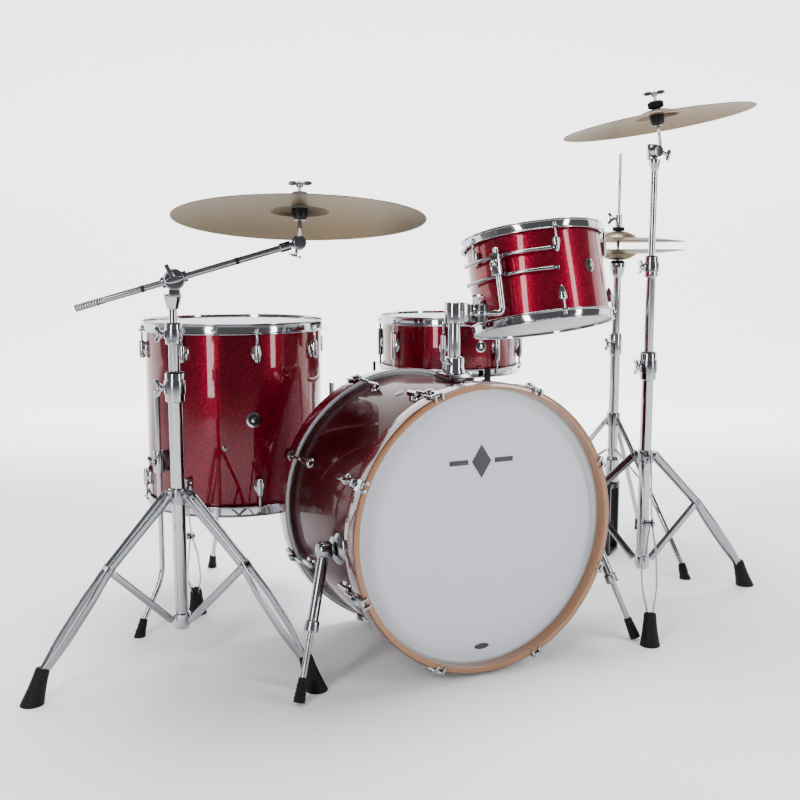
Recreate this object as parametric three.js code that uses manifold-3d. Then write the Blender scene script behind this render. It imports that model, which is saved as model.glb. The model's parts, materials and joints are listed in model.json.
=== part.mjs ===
import * as THREE from 'three';
import { mergeVertices } from 'three/addons/utils/BufferGeometryUtils.js';
import Module from 'manifold-3d';

const wasm = await Module();
wasm.setup();

// Acoustic drum kit, millimetres, Z up, the bass drum's front head facing -Y.
// GAP is the clearance between neighbouring pieces.
const GAP = 0.4;
const DEG = Math.PI / 180;

// The stage: where each free-standing assembly stands, before the kit is centred on the origin.
const STAGE_SHIFT_X = -76.4;
const STAGE_SHIFT_Y = -470.3;

// Bass drum, 22 in across and 14 in deep, lying on its side with the front raised by the spurs.
const BASS_RADIUS = 277;
const BASS_WALL = 7;
const BASS_HALF = 178;
const BASS_HOOP_INNER = 281.8;
const BASS_HOOP_OUTER = 290;
const BASS_HOOP_FRONT = 206;
const BASS_HOOP_BACK = 166;
const BASS_LUGS = 8;
const BASS_SIDES = 32;
const BASS_CENTRE = [0, 206, 294.3];
const BASS_TILT = 1.2;

// Spurs: pivot and foot of the left one, in stage coordinates; the right one mirrors it in X.
const SPUR_PIVOT = [-306, 103, 268];
const SPUR_FOOT = [-390, 26, 5.4];
const SPUR_TUBE = 152;

// Drums that stand upright have DRUM_SIDES facets.
const DRUM_SIDES = 28;

// Drums that stand upright: shell radius, half depth, lug count and the turn of the first lug.
const TOM = { radius: 152.4, half: 101, lugs: 5, turn: 39.1, lugLong: 34, lugAt: 52, hoop: 7.5 };
const FLOOR_TOM = { radius: 203.2, half: 203, lugs: 8, turn: 41.9, lugLong: 40, lugAt: 148, hoop: 10 };
const SNARE = { radius: 177.8, half: 68, lugs: 8, turn: 12, lugLong: 74, lugAt: 0, hoop: 8 };

// Rack tom and its mount.
const TOM_CENTRE = [296, 297, 774];
const TOM_LEAN = [-0.026, 0.223, 1];
const POST = [30, 202];
const POST_RADIUS = 12.5;
const POST_LOW = 590;
const POST_HIGH = 728;
const BLOCK_LOW = 692;
const BLOCK_HIGH = 735;
const ARM_START = [66, 196.5, 712];
const ARM_CORNER = [138, 182, 712];
const ARM_RISE = 140;
const CARRIER_LOW = 82;
const CARRIER_HIGH = 126;
const ARM_RADIUS = 6.5;

// Floor tom and its three sliding legs.
const FLOOR_TOM_CENTRE = [-314, 652, 474];
const FLOOR_LEG_TURNS = [207, 87, 327];
const FLOOR_LEG_CIRCLE = 233;
const FLOOR_FOOT_CIRCLE = 305;
const FLOOR_LEG_HIGH = 540;
const FLOOR_LEG_BEND = 120;

// Snare drum on its basket stand.
const SNARE_CENTRE = [303, 728, 604];
const SNARE_LEG_TURNS = [90, 210, 330];

// Cymbals: rim radius, height of the bow, radius and height of the bell.
const RIDE = { radius: 254, bow: 17, bell: 60, dome: 18 };
const CRASH = { radius: 217, bow: 15, bell: 52, dome: 15 };
const HAT = { radius: 178, bow: 10, bell: 50, dome: 17 };
const CYMBAL_THICK = 1.6;
const CYMBAL_HOLE = 7;
const SWING_GAP = 1.3;

// Boom stand with the ride cymbal.
const BOOM_STAND = [-535, 318];
const BOOM_LEG_TURNS = [193, 310, 70];
const BOOM_PIVOT = [-531, 318, 786];
const BOOM_END = [-290, 262, 858];
const BOOM_BACK = 195;
const RIDE_LEAN = [0.062, 0.130, 1];
const RIDE_DROP = 45;

// Straight stand with the crash cymbal.
const CRASH_STAND = [577, 242];
const CRASH_LEG_TURNS = [235, 355, 115];
const CRASH_TILTER_HEIGHT = 1071;
const CRASH_LEAN = [-0.131, 0.081, 1];

// Tripods: a leg hangs from the upper collar and a brace ties its middle to the lower collar.
const TRIPOD_PIVOT = 24;
const TRIPOD_TOP = 358;
const TRIPOD_MID = [154, 229];
const TRIPOD_LOW = 100;
const TRIPOD_FOOT = [292, 52];
const TUBE_RADIUS = 14;

// Hi-hat stand.
const HAT_STAND = [760, 609];
const HAT_LEG_TURNS = [275, 155, 35];
const HAT_PEDAL_TURN = 127;
const HAT_RIM_LOW = 850;
const HAT_RIM_HIGH = 871;
const HAT_ROD_HIGH = 1108;

const colour = (name, hex, roughness, metalness) => {
  const material = new THREE.MeshStandardMaterial({ color: hex, roughness, metalness });
  material.name = name;
  return material;
};
const lacquer = colour('lacquer', 0x7c0714, 0.25, 0.1);
const chrome = colour('chrome', 0xc9cbd0, 0.15, 1);
const maple = colour('maple', 0xb97a45, 0.45, 0);
const skin = colour('skin', 0xdcdce2, 0.5, 0);
const bronze = colour('bronze', 0x9a8264, 0.35, 1);
const black = colour('black', 0x151517, 0.6, 0);

// Turns a closed geometry to face outwards and drops its seams.
function closed(geometry) {
  const bare = geometry.clone();
  bare.deleteAttribute('normal');
  bare.deleteAttribute('uv');
  const welded = mergeVertices(bare, 1e-4);
  const spots = welded.getAttribute('position');
  const index = welded.getIndex().array;
  const kept = [];
  let volume = 0;
  const a = new THREE.Vector3();
  const b = new THREE.Vector3();
  const c = new THREE.Vector3();
  for (let i = 0; i < index.length; i += 3) {
    const [p, q, r] = [index[i], index[i + 1], index[i + 2]];
    if (p === q || q === r || p === r) continue;
    a.fromBufferAttribute(spots, p);
    b.fromBufferAttribute(spots, q);
    c.fromBufferAttribute(spots, r);
    volume += a.dot(b.cross(c));
    kept.push(p, q, r);
  }
  if (volume < 0) {
    for (let i = 0; i < kept.length; i += 3) [kept[i], kept[i + 1]] = [kept[i + 1], kept[i]];
  }
  welded.setIndex(kept);
  return welded;
}

function toManifold(geometry) {
  const whole = closed(geometry);
  return new wasm.Manifold(new wasm.Mesh({
    numProp: 3,
    vertProperties: new Float32Array(whole.getAttribute('position').array),
    triVerts: new Uint32Array(whole.getIndex().array),
  }));
}

function fromManifold(manifold) {
  const mesh = manifold.getMesh();
  const geometry = new THREE.BufferGeometry();
  geometry.setAttribute('position', new THREE.BufferAttribute(mesh.vertProperties, 3));
  geometry.setIndex(new THREE.BufferAttribute(mesh.triVerts, 1));
  geometry.computeVertexNormals();
  return geometry;
}

function join(...pieces) {
  return fromManifold(pieces.map(toManifold).reduce((sum, piece) => sum.add(piece)));
}

function cut(body, ...tools) {
  return fromManifold(tools.map(toManifold).reduce((rest, tool) => rest.subtract(tool), toManifold(body)));
}

// A body turned about Z from a closed profile of [radius, height] pairs.
function turned(profile, sides) {
  const points = profile.map(([r, h]) => new THREE.Vector2(r, h));
  const first = points[0];
  const last = points[points.length - 1];
  if (first.x > 0 || last.x > 0) points.push(first.clone());
  return closed(new THREE.LatheGeometry(points, sides).rotateX(Math.PI / 2));
}

function vector(p) {
  return new THREE.Vector3(...p);
}

// Places a body made along Z so that its origin is at one point and its axis runs towards another.
function aim(geometry, from, towards) {
  const axis = vector(towards).sub(vector(from)).normalize();
  const turn = new THREE.Quaternion().setFromUnitVectors(new THREE.Vector3(0, 0, 1), axis);
  return geometry.clone().applyQuaternion(turn).translate(...from);
}

function rod(from, to, radius, sides = 8) {
  const long = vector(to).distanceTo(vector(from));
  return aim(turned([[0, 0], [radius, 0], [radius, long], [0, long]], sides), from, to);
}

function block(size, centre, turnZ = 0) {
  return new THREE.BoxGeometry(...size).rotateZ(turnZ * DEG).translate(...centre);
}

function ball(centre, radius) {
  return new THREE.IcosahedronGeometry(radius, 0).translate(...centre);
}

// A point on a circle about the Z axis.
function around(circle, turn, height) {
  return [circle * Math.cos(turn * DEG), circle * Math.sin(turn * DEG), height];
}

function along(from, to, distance) {
  const start = vector(from);
  const step = vector(to).sub(start).setLength(distance);
  return start.add(step).toArray();
}

const kit = new THREE.Group();
kit.name = 'drum_kit';
kit.position.set(STAGE_SHIFT_X, STAGE_SHIFT_Y, 0);

function group(position = [0, 0, 0]) {
  const holder = new THREE.Group();
  holder.position.set(...position);
  kit.add(holder);
  return holder;
}

function part(name, geometry, material, holder = kit) {
  const mesh = new THREE.Mesh(geometry, material);
  mesh.name = name;
  holder.add(mesh);
  return mesh;
}

// ---- Bass drum: local Z runs along the drum towards its front, local Y is up.
const bass = group(BASS_CENTRE);
bass.rotation.x = (90 - BASS_TILT) * DEG;
const bassAngles = Array.from({ length: BASS_LUGS }, (_, k) => 22.5 + (k * 360) / BASS_LUGS);

function bassShell() {
  const tube = turned([
    [BASS_RADIUS - BASS_WALL, -BASS_HALF],
    [BASS_RADIUS, -BASS_HALF],
    [BASS_RADIUS, BASS_HALF],
    [BASS_RADIUS - BASS_WALL, BASS_HALF],
  ], BASS_SIDES);
  const fittings = [];
  for (const turn of bassAngles) {
    for (const side of [-1, 1]) {
      fittings.push(block([26, 15, 48], around(BASS_RADIUS + 9, turn, side * 100), turn));
    }
  }
  for (const side of [-1, 1]) {
    const y = SPUR_PIVOT[2] - BASS_CENTRE[2];
    const z = BASS_CENTRE[1] - SPUR_PIVOT[1];
    fittings.push(rod([side * 268, y, z], [side * 291, y, z], 27, 12));
  }
  return join(tube, ...fittings);
}

function bassHead(side) {
  const face = BASS_HALF + GAP;
  return turned([
    [0, face], [BASS_RADIUS + 0.8, face], [BASS_RADIUS + 0.8, BASS_HOOP_BACK + 1],
    [BASS_HOOP_INNER - GAP, BASS_HOOP_BACK + 1], [BASS_HOOP_INNER - GAP, face + 1.5], [0, face + 1.5],
  ].map(([r, h]) => [r, side * h]), BASS_SIDES);
}

// A wooden hoop with its claws; each claw's key rod runs back to its lug.
function bassHoop(side) {
  const ring = turned([
    [BASS_HOOP_INNER, BASS_HOOP_BACK], [BASS_HOOP_OUTER, BASS_HOOP_BACK],
    [BASS_HOOP_OUTER, BASS_HOOP_FRONT], [BASS_HOOP_INNER, BASS_HOOP_FRONT],
  ].map(([r, h]) => [r, side * h]), BASS_SIDES);
  const claws = [];
  for (const turn of bassAngles) {
    claws.push(block([14, 22, 42], around(BASS_HOOP_OUTER, turn, side * (BASS_HOOP_FRONT - 18)), turn));
    claws.push(rod(
      around(BASS_RADIUS + 16, turn, side * (124 + GAP)),
      around(BASS_RADIUS + 16, turn, side * (BASS_HOOP_FRONT - 30)), 3.2, 4));
  }
  return join(ring, ...claws);
}

part('bass_shell', bassShell(), lacquer, bass);
part('bass_front_head', bassHead(1), skin, bass);
part('bass_batter_head', bassHead(-1), skin, bass);
part('bass_front_hoop', bassHoop(1), maple, bass);
part('bass_batter_hoop', bassHoop(-1), lacquer, bass);

// ---- Spurs: a knuckle on the shell's bracket, a tube, and a telescoping rod with a rubber foot.
function spur(side) {
  const mirror = ([x, y, z]) => [side * x, y, z];
  const pivot = mirror(SPUR_PIVOT);
  const foot = mirror(SPUR_FOOT);
  const start = along(pivot, foot, 4);
  const length = SPUR_TUBE;
  const sleeve = turned([[0, 0], [10.5, 0], [10.5, length - 22], [14, length - 22], [14, length],
    [6.6, length], [6.6, 34], [0, 34]], 12);
  const knuckle = rod([pivot[0] + side * 14.6, pivot[1], pivot[2]],
    [pivot[0] - side * 14, pivot[1], pivot[2]], 21, 12);
  const tube = join(knuckle, aim(sleeve, start, foot));
  const bore = rod(along(start, foot, 34), foot, 6.6, 12);
  const inner = along(start, foot, 92);
  const reach = vector(foot).distanceTo(vector(inner));
  const rubber = turned([[0, 0], [6, 0], [6, reach - 44], [9.5, reach - 42], [12, reach], [0, reach]], 12);
  return [cut(tube, bore), aim(rubber, inner, foot)];
}
const [spurLeft, spurRodLeft] = spur(1);
const [spurRight, spurRodRight] = spur(-1);
part('spur_left', spurLeft, chrome);
part('spur_left_rod', spurRodLeft, chrome);
part('spur_right', spurRight, chrome);
part('spur_right_rod', spurRodRight, chrome);

// ---- Upright drums: shell with lugs, two heads, two flanged hoops with ears and key rods.
function lugTurns(drum) {
  return Array.from({ length: drum.lugs }, (_, k) => drum.turn + (k * 360) / drum.lugs);
}

function drumShell(drum, extras = []) {
  const tube = turned([
    [drum.radius - 6, -drum.half], [drum.radius, -drum.half],
    [drum.radius, drum.half], [drum.radius - 6, drum.half],
  ], DRUM_SIDES);
  const fittings = [];
  const places = drum.lugAt > 0 ? [-drum.lugAt, drum.lugAt] : [0];
  for (const turn of lugTurns(drum)) {
    for (const place of places) {
      fittings.push(block([16, 15, drum.lugLong], around(drum.radius + 5.5, turn, place), turn));
    }
  }
  return join(tube, ...fittings, ...extras);
}

function drumHead(drum, side) {
  const face = drum.half + GAP;
  return turned([
    [0, face], [drum.radius + 0.8, face], [drum.radius + 0.8, drum.half - 8],
    [drum.radius + 3.8, drum.half - 8], [drum.radius + 3.8, face + 1.2], [0, face + 1.2],
  ].map(([r, h]) => [r, side * h]), DRUM_SIDES);
}

function drumHoop(drum, side) {
  const inner = drum.radius + 4.2;
  const low = drum.half - 14;
  const high = drum.half + drum.hoop;
  const ring = turned([
    [inner, low], [inner + 7, low], [inner + 7, low + 3], [inner + 2.6, low + 3],
    [inner + 2.6, high - 3], [inner + 5, high], [inner, high],
  ].map(([r, h]) => [r, side * h]), DRUM_SIDES);
  const ears = [];
  const lugEnd = drum.lugAt + drum.lugLong / 2 + GAP;
  for (const turn of lugTurns(drum)) {
    const top = low + 10;
    ears.push(block([7, 8, top - lugEnd], around(drum.radius + 9, turn, (side * (lugEnd + top)) / 2), turn));
  }
  return join(ring, ...ears);
}

// The snare's lower head and hoop are one piece: a thin skin that its hoop clamps and hides.
function drum(name, shape, holder, extras = []) {
  part(`${name}_shell`, drumShell(shape, extras), lacquer, holder);
  part(`${name}_top_head`, drumHead(shape, 1), skin, holder);
  part(`${name}_top_hoop`, drumHoop(shape, 1), chrome, holder);
  if (shape === SNARE) {
    const plug = turned([
      [0, -shape.half - 1.6], [shape.radius + 5, -shape.half - 1.6],
      [shape.radius + 5, -shape.half - GAP], [0, -shape.half - GAP]], DRUM_SIDES);
    part(`${name}_bottom_hoop`, join(drumHoop(shape, -1), plug), chrome, holder);
    return;
  }
  part(`${name}_bottom_head`, drumHead(shape, -1), skin, holder);
  part(`${name}_bottom_hoop`, drumHoop(shape, -1), chrome, holder);
}

const leanTurn = (lean) => new THREE.Quaternion().setFromUnitVectors(
  new THREE.Vector3(0, 0, 1), vector(lean).normalize());

const tomGroup = group(TOM_CENTRE);
tomGroup.quaternion.copy(leanTurn(TOM_LEAN));
drum('tom', TOM, tomGroup);

// ---- Tom mount: base on the bass drum, post, clamp block, bent arm and the tom's carrier.
const baseBlock = join(
  block([64, 84, 40], [POST[0], POST[1], 575]),
  rod([POST[0], POST[1], 560], [POST[0], POST[1], 622], 21, 16),
  rod([POST[0] - 15, POST[1] - 9, 608], [POST[0] - 38, POST[1] - 22, 608], 5, 8));
const bassEnvelope = rod([0, 0, -200], [0, 0, 200], BASS_RADIUS + GAP, BASS_SIDES)
  .rotateX((90 - BASS_TILT) * DEG)
  .translate(...BASS_CENTRE);
const postBore = rod([...POST, 570], [...POST, 640], POST_RADIUS + GAP, 16);
part('tom_mount_base', cut(baseBlock, bassEnvelope, postBore), chrome);
part('tom_post', rod([...POST, POST_LOW], [...POST, POST_HIGH], POST_RADIUS, 16), chrome);

const armAxisEnd = along(ARM_START, ARM_CORNER, 34);
const clampBody = join(
  block([46, 40, BLOCK_HIGH - BLOCK_LOW], [POST[0] + 3, POST[1], (BLOCK_LOW + BLOCK_HIGH) / 2]),
  rod(along(ARM_START, ARM_CORNER, -20), armAxisEnd, 17, 12),
  rod([80, 194, 722], [80, 194, 747], 4, 8));
const blockBore = rod([...POST, BLOCK_LOW - 10], [...POST, BLOCK_HIGH - 4], POST_RADIUS + GAP, 16);
const armBore = rod(along(ARM_START, ARM_CORNER, -4), along(ARM_START, ARM_CORNER, 60), ARM_RADIUS + GAP, 12);
part('tom_clamp', cut(clampBody, blockBore, armBore), chrome);

const leanAxis = vector(TOM_LEAN).normalize();
const riser = (distance) => vector(ARM_CORNER).addScaledVector(leanAxis, distance).toArray();
part('tom_arm', join(
  rod(ARM_START, ARM_CORNER, ARM_RADIUS, 12),
  ball(ARM_CORNER, ARM_RADIUS + 0.6),
  rod(ARM_CORNER, riser(ARM_RISE), ARM_RADIUS, 12)), chrome);

// The carrier's two curved bars follow the shell outside the lugs, tied at their ends.
function carrier() {
  const level = leanTurn(TOM_LEAN).invert();
  const low = vector(riser(CARRIER_LOW)).sub(vector(TOM_CENTRE)).applyQuaternion(level);
  const high = vector(riser(CARRIER_HIGH)).sub(vector(TOM_CENTRE)).applyQuaternion(level);
  const heading = Math.atan2(low.y, low.x) / DEG;
  const middle = low.clone().add(high).multiplyScalar(0.5);
  const circle = TOM.radius + 15;
  const bar = (low, high) => turned([[circle, middle.z + low], [circle + 3.5, middle.z + low],
    [circle + 3.5, middle.z + high], [circle, middle.z + high]], 32);
  const keep = [];
  for (const offset of [-27, 0, 27]) {
    keep.push(block([80, 92, 60], around(circle, heading + offset, middle.z), heading + offset));
  }
  const reachOf = (ring) => fromManifold(toManifold(join(...keep)).intersect(toManifold(ring)));
  const bars = [reachOf(bar(-26, -17)), reachOf(bar(17, 26))];
  const ties = [-39, 39].map((offset) => {
    return block([3.4, 10, 50], around(circle + 1.8, heading + offset, middle.z), heading + offset);
  });
  const grip = block([30, 26, 52], middle.toArray(), heading);
  const reach = Math.hypot(middle.x, middle.y);
  const bridge = block([reach - circle, 18, 52], around((reach + circle) / 2 + 1, heading, middle.z), heading);
  const hole = rod([low.x, low.y, middle.z - 60], [low.x, low.y, middle.z + 60], ARM_RADIUS + GAP, 12);
  return cut(join(...bars, ...ties, grip, bridge), hole);
}
part('tom_carrier', carrier(), chrome, tomGroup);

// ---- Floor tom and its legs.
const floorGroup = group(FLOOR_TOM_CENTRE);
const legBosses = FLOOR_LEG_TURNS.map((turn) => {
  const centre = around((FLOOR_LEG_CIRCLE + FLOOR_TOM.radius) / 2 + 4, turn, -92);
  const bore = rod(around(FLOOR_LEG_CIRCLE, turn, -140), around(FLOOR_LEG_CIRCLE, turn, -50),
    6 + GAP, 12);
  return cut(block([44, 30, 44], centre, turn), bore);
});
drum('floor_tom', FLOOR_TOM, floorGroup, legBosses);

function floorLeg(turn) {
  const top = around(FLOOR_LEG_CIRCLE, turn, FLOOR_LEG_HIGH);
  const bend = around(FLOOR_LEG_CIRCLE, turn, FLOOR_LEG_BEND);
  const ankle = around(FLOOR_FOOT_CIRCLE - 14, turn, 32);
  const toe = around(FLOOR_FOOT_CIRCLE, turn, -8);
  const foot = aim(turned([[0, 0], [9, 0], [14, 46], [0, 46]], 8), ankle, toe);
  const whole = join(rod(top, bend, 6, 8), ball(bend, 6.4), rod(bend, ankle, 6, 8), foot);
  return cut(whole, block([120, 120, 40], around(FLOOR_FOOT_CIRCLE, turn, -20), turn));
}
const floorLegs = group([FLOOR_TOM_CENTRE[0], FLOOR_TOM_CENTRE[1], 0]);
FLOOR_LEG_TURNS.forEach((turn, k) => {
  part(`floor_tom_leg_${k + 1}`, floorLeg(turn), chrome, floorLegs);
});

// ---- Snare drum, its strainer lever, and the basket stand under it.
const snareGroup = group(SNARE_CENTRE);
const strainerTurn = 345;
const strainer = block([14, 22, 46], around(SNARE.radius + 6, strainerTurn, -10), strainerTurn);
drum('snare', SNARE, snareGroup, [strainer]);
part('snare_strainer_lever', join(
  block([5, 12, 50], around(SNARE.radius + 17, strainerTurn, -8), strainerTurn),
  rod(around(SNARE.radius + 14, strainerTurn, -26), around(SNARE.radius + 24, strainerTurn, -26), 5, 10),
), black, snareGroup);

const snareStand = group([SNARE_CENTRE[0], SNARE_CENTRE[1], 0]);
function plainLeg(turn, top, footCircle, radius) {
  const ankle = around(footCircle - 14, turn, 34);
  const toe = around(footCircle, turn, -6);
  const foot = aim(turned([[0, 0], [10, 0], [15, 46], [0, 46]], 8), ankle, toe);
  const whole = join(rod(around(17, turn, top), ankle, radius, 6), foot);
  return cut(whole, block([120, 120, 40], around(footCircle, turn, -20), turn));
}
const snareBase = join(
  turned([[0, 110], [13, 110], [13, 402], [17, 402], [17, 430], [0, 430]], 12),
  turned([[0, 234], [22, 234], [22, 262], [0, 262]], 12),
  turned([[0, 113], [20, 113], [20, 133], [0, 133]], 12),
  ...SNARE_LEG_TURNS.map((turn) => plainLeg(turn, 246, 232, 6)),
  ...SNARE_LEG_TURNS.map((turn) => rod(around(15, turn, 122), around(108, turn, 152), 4.5, 6)));
part('snare_stand_base', cut(snareBase, rod([0, 0, 180], [0, 0, 440], 10 + GAP, 12)), chrome, snareStand);
part('snare_stand_tube', join(
  rod([0, 0, 250], [0, 0, 478], 10, 12),
  rod([0, -13, 478], [0, 13, 478], 14, 12)), chrome, snareStand);

function basket() {
  const hub = join(
    block([34, 7, 34], [0, 17, 480]),
    block([34, 7, 34], [0, -17, 480]),
    turned([[0, 494], [26, 494], [26, 506], [0, 506]], 12));
  const arms = [];
  const floor = SNARE_CENTRE[2] - SNARE.half - SNARE.hoop;
  for (const turn of [30, 150, 270]) {
    arms.push(rod(around(10, turn, 500), around(196, turn, floor - 14), 6, 8));
    arms.push(block([20, 18, 13], around(196, turn, floor - 10), turn));
    arms.push(block([7, 18, 40], around(202, turn, floor + 4), turn));
  }
  return join(hub, ...arms);
}
part('snare_basket', basket(), chrome, snareStand);

// ---- Tripod pieces shared by the cymbal stands.
function strap(from, to, half, turn) {
  const offset = [-Math.sin(turn * DEG) * half, Math.cos(turn * DEG) * half, 0];
  return rod(from.map((v, k) => v + offset[k]), to.map((v, k) => v + offset[k]), 4.8, 4);
}

// A leg is two bars that meet in a flared rubber foot; the brace lies between them.
function tripodLeg(turn) {
  const top = around(TRIPOD_PIVOT, turn, TRIPOD_TOP);
  const middle = around(TRIPOD_MID[0], turn, TRIPOD_MID[1]);
  const ankle = around(TRIPOD_FOOT[0], turn, TRIPOD_FOOT[1]);
  const toe = around(TRIPOD_FOOT[0] + 22, turn, -10);
  const bars = [];
  for (const half of [-12, 12]) {
    bars.push(strap(top, middle, half, turn));
    bars.push(strap(middle, ankle, half, turn));
  }
  bars.push(strapTie(top, turn));
  bars.push(strapTie(middle, turn));
  const foot = aim(turned([[0, 0], [17, 0], [22, 64], [0, 64]], 8), along(ankle, toe, -8), toe);
  const whole = join(...bars, foot);
  return cut(whole, block([160, 160, 40], around(TRIPOD_FOOT[0] + 20, turn, -20), turn));
}

function strapPoint(point, half, turn) {
  return [point[0] - Math.sin(turn * DEG) * half, point[1] + Math.cos(turn * DEG) * half, point[2]];
}

function strapTie(point, turn) {
  return rod(strapPoint(point, -12, turn), strapPoint(point, 12, turn), 3.2, 4);
}

function tripodBrace(turn) {
  const middle = around(TRIPOD_MID[0], turn, TRIPOD_MID[1]);
  const low = around(TRIPOD_PIVOT, turn, TRIPOD_LOW);
  const bar = join(
    rod(along(middle, low, 6), low, 4, 6),
    rod(strapPoint(middle, -6, turn), strapPoint(middle, 6, turn), 8, 12));
  return cut(bar, rod(strapPoint(middle, -9, turn), strapPoint(middle, 9, turn), 3.2 + GAP, 8));
}

function collarRing(low, high, radius) {
  return turned([[TUBE_RADIUS + GAP, low], [radius, low], [radius, high], [TUBE_RADIUS + GAP, high]], 12);
}

// The upper collar with an ear for each leg.
function legCollar(turns) {
  const ring = join(
    collarRing(TRIPOD_TOP - 19, TRIPOD_TOP + 12, 19),
    ...turns.map((turn) => block([12, 14, 16], around(22, turn, TRIPOD_TOP), turn)));
  const core = rod([0, 0, TRIPOD_TOP - 30], [0, 0, TRIPOD_TOP + 30], TUBE_RADIUS + GAP, 12);
  const holes = turns.map((turn) => {
    const point = around(TRIPOD_PIVOT, turn, TRIPOD_TOP);
    return rod(strapPoint(point, -12, turn), strapPoint(point, 12, turn), 3.2 + GAP, 8);
  });
  return cut(ring, core, ...holes);
}

function tripodTube(high, collar) {
  const tube = turned([
    [0, 78], [TUBE_RADIUS, 78], [TUBE_RADIUS, high - collar], [19, high - collar], [19, high],
    [11 + GAP, high], [11 + GAP, 170], [0, 170],
  ], 12);
  return join(
    tube,
    turned([[0, 84], [17.5, 84], [17.5, 112], [0, 112]], 12),
    wing(19, 180, high - collar / 2));
}

// A wing bolt standing out of a collar.
function wing(radius, turn, height) {
  return join(
    rod(around(radius - 3, turn, height), around(radius + 17, turn, height), 4, 8),
    block([5, 30, 12], around(radius + 17, turn, height), turn));
}

function innerTube(low, high, collar, radius, bore) {
  return join(
    turned([
      [0, low], [radius, low], [radius, high - collar], [radius + 5.5, high - collar],
      [radius + 5.5, high], [bore, high], [bore, low + 30], [0, low + 30],
    ], 12),
    wing(radius + 5.5, 180, high - collar / 2));
}

// A cymbal about its own axis: the rim lies at height zero and the bell rises along +Z.
function cymbal(shape) {
  const bowEdge = shape.bow;
  const lower = [
    [shape.radius, 0], [shape.radius * 0.7, bowEdge * 0.55], [shape.bell, bowEdge],
    [shape.bell * 0.6, bowEdge + shape.dome * 0.75], [CYMBAL_HOLE, bowEdge + shape.dome],
  ];
  const upper = lower.map(([r, h]) => [r, h + CYMBAL_THICK]).reverse();
  return turned([...lower, ...upper], 28);
}

// The rod that carries a cymbal: seat sleeve below, felts and wing nut above, along +Z.
function cymbalRod(shape, drop) {
  const seat = shape.bow + shape.dome - SWING_GAP;
  const top = shape.bow + shape.dome + CYMBAL_THICK + SWING_GAP;
  return join(
    rod([0, 0, -drop], [0, 0, top + 46], 4, 10),
    turned([[0, seat - 26], [11, seat - 26], [17, seat - 20], [17, seat - 7], [9, seat], [0, seat]], 12),
    turned([[0, top], [9, top], [17, top + 4], [17, top + 21], [0, top + 21]], 12),
    block([30, 6, 9], [0, 0, top + 36]),
    rod([0, 0, top + 20], [0, 0, top + 42], 6.5, 10));
}

// ---- Boom stand.
const boomStand = group([...BOOM_STAND, 0]);
part('boom_tube', tripodTube(604, 60), chrome, boomStand);
part('boom_leg_collar', legCollar(BOOM_LEG_TURNS), chrome, boomStand);
BOOM_LEG_TURNS.forEach((turn, k) => {
  part(`boom_leg_${k + 1}`, tripodLeg(turn), chrome, boomStand);
  part(`boom_brace_${k + 1}`, tripodBrace(turn), chrome, boomStand);
});
part('boom_middle_tube', innerTube(430, 701, 43, 11, 8 + GAP), chrome, boomStand);

const boomAxis = vector(BOOM_END).sub(vector(BOOM_PIVOT)).normalize();
const boomSide = new THREE.Vector3(0, 0, 1).cross(boomAxis).normalize();
const boomAt = (distance) => vector(BOOM_PIVOT).addScaledVector(boomAxis, distance).toArray();
const boomAside = (distance) => vector(BOOM_PIVOT).addScaledVector(boomSide, distance).toArray();
const boomCheeks = [-15.5, 15.5].map((side) => {
  return rod(boomAside(side - 4), boomAside(side + 4), 21, 12);
});
part('boom_upper_tube', join(
  rod([...BOOM_STAND, 560], [...BOOM_STAND, 732], 8, 12),
  turned([[0, 0], [12, 0], [18, 30], [0, 30]], 12).translate(...BOOM_STAND, 728),
  cut(block([26, 40, 12], [BOOM_STAND[0] + 2, BOOM_STAND[1], 760], -13),
    block([30, 23, 20], [BOOM_STAND[0] + 2, BOOM_STAND[1], 768], -13)),
  ...boomCheeks), chrome);
part('boom_clamp', cut(
  join(rod(boomAside(-11), boomAside(11), 19, 12), rod(boomAt(-26), boomAt(26), 11, 12)),
  rod(boomAt(-40), boomAt(40), 6.5 + GAP, 12)), chrome);

const boomLength = vector(BOOM_END).distanceTo(vector(BOOM_PIVOT));
part('boom_arm', join(
  rod(boomAt(-BOOM_BACK), boomAt(boomLength - 20), 6.5, 12),
  rod(boomAt(boomLength - 40), boomAt(boomLength - 19), 9.5, 12),
  rod(vector(boomAt(boomLength)).addScaledVector(boomSide, 8).toArray(),
    vector(boomAt(boomLength)).addScaledVector(boomSide, 15).toArray(), 15, 12),
  rod(boomAt(boomLength - 25), vector(boomAt(boomLength - 21)).addScaledVector(boomSide, 14).toArray(), 5),
  rod(vector(boomAt(boomLength - 22)).addScaledVector(boomSide, 14).toArray(),
    vector(boomAt(boomLength)).addScaledVector(boomSide, 14).toArray(), 5)), chrome);

const rideNormal = vector(RIDE_LEAN).normalize();
const rideCentre = vector(BOOM_END).addScaledVector(rideNormal, RIDE_DROP);
const rideGroup = group(rideCentre.toArray());
rideGroup.quaternion.copy(leanTurn(RIDE_LEAN));
const boomNear = vector(BOOM_END).addScaledVector(boomSide, 8 - GAP).toArray();
const boomFar = vector(BOOM_END).addScaledVector(boomSide, -8).toArray();
const rideHinge = rod(boomFar, boomNear, 13, 12);
const rideStem = cymbalRod(RIDE, RIDE_DROP).applyQuaternion(leanTurn(RIDE_LEAN)).translate(...rideCentre.toArray());
part('ride_tilter', join(rideHinge, rideStem), chrome);
part('ride_cymbal', cymbal(RIDE), bronze, rideGroup);

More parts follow.
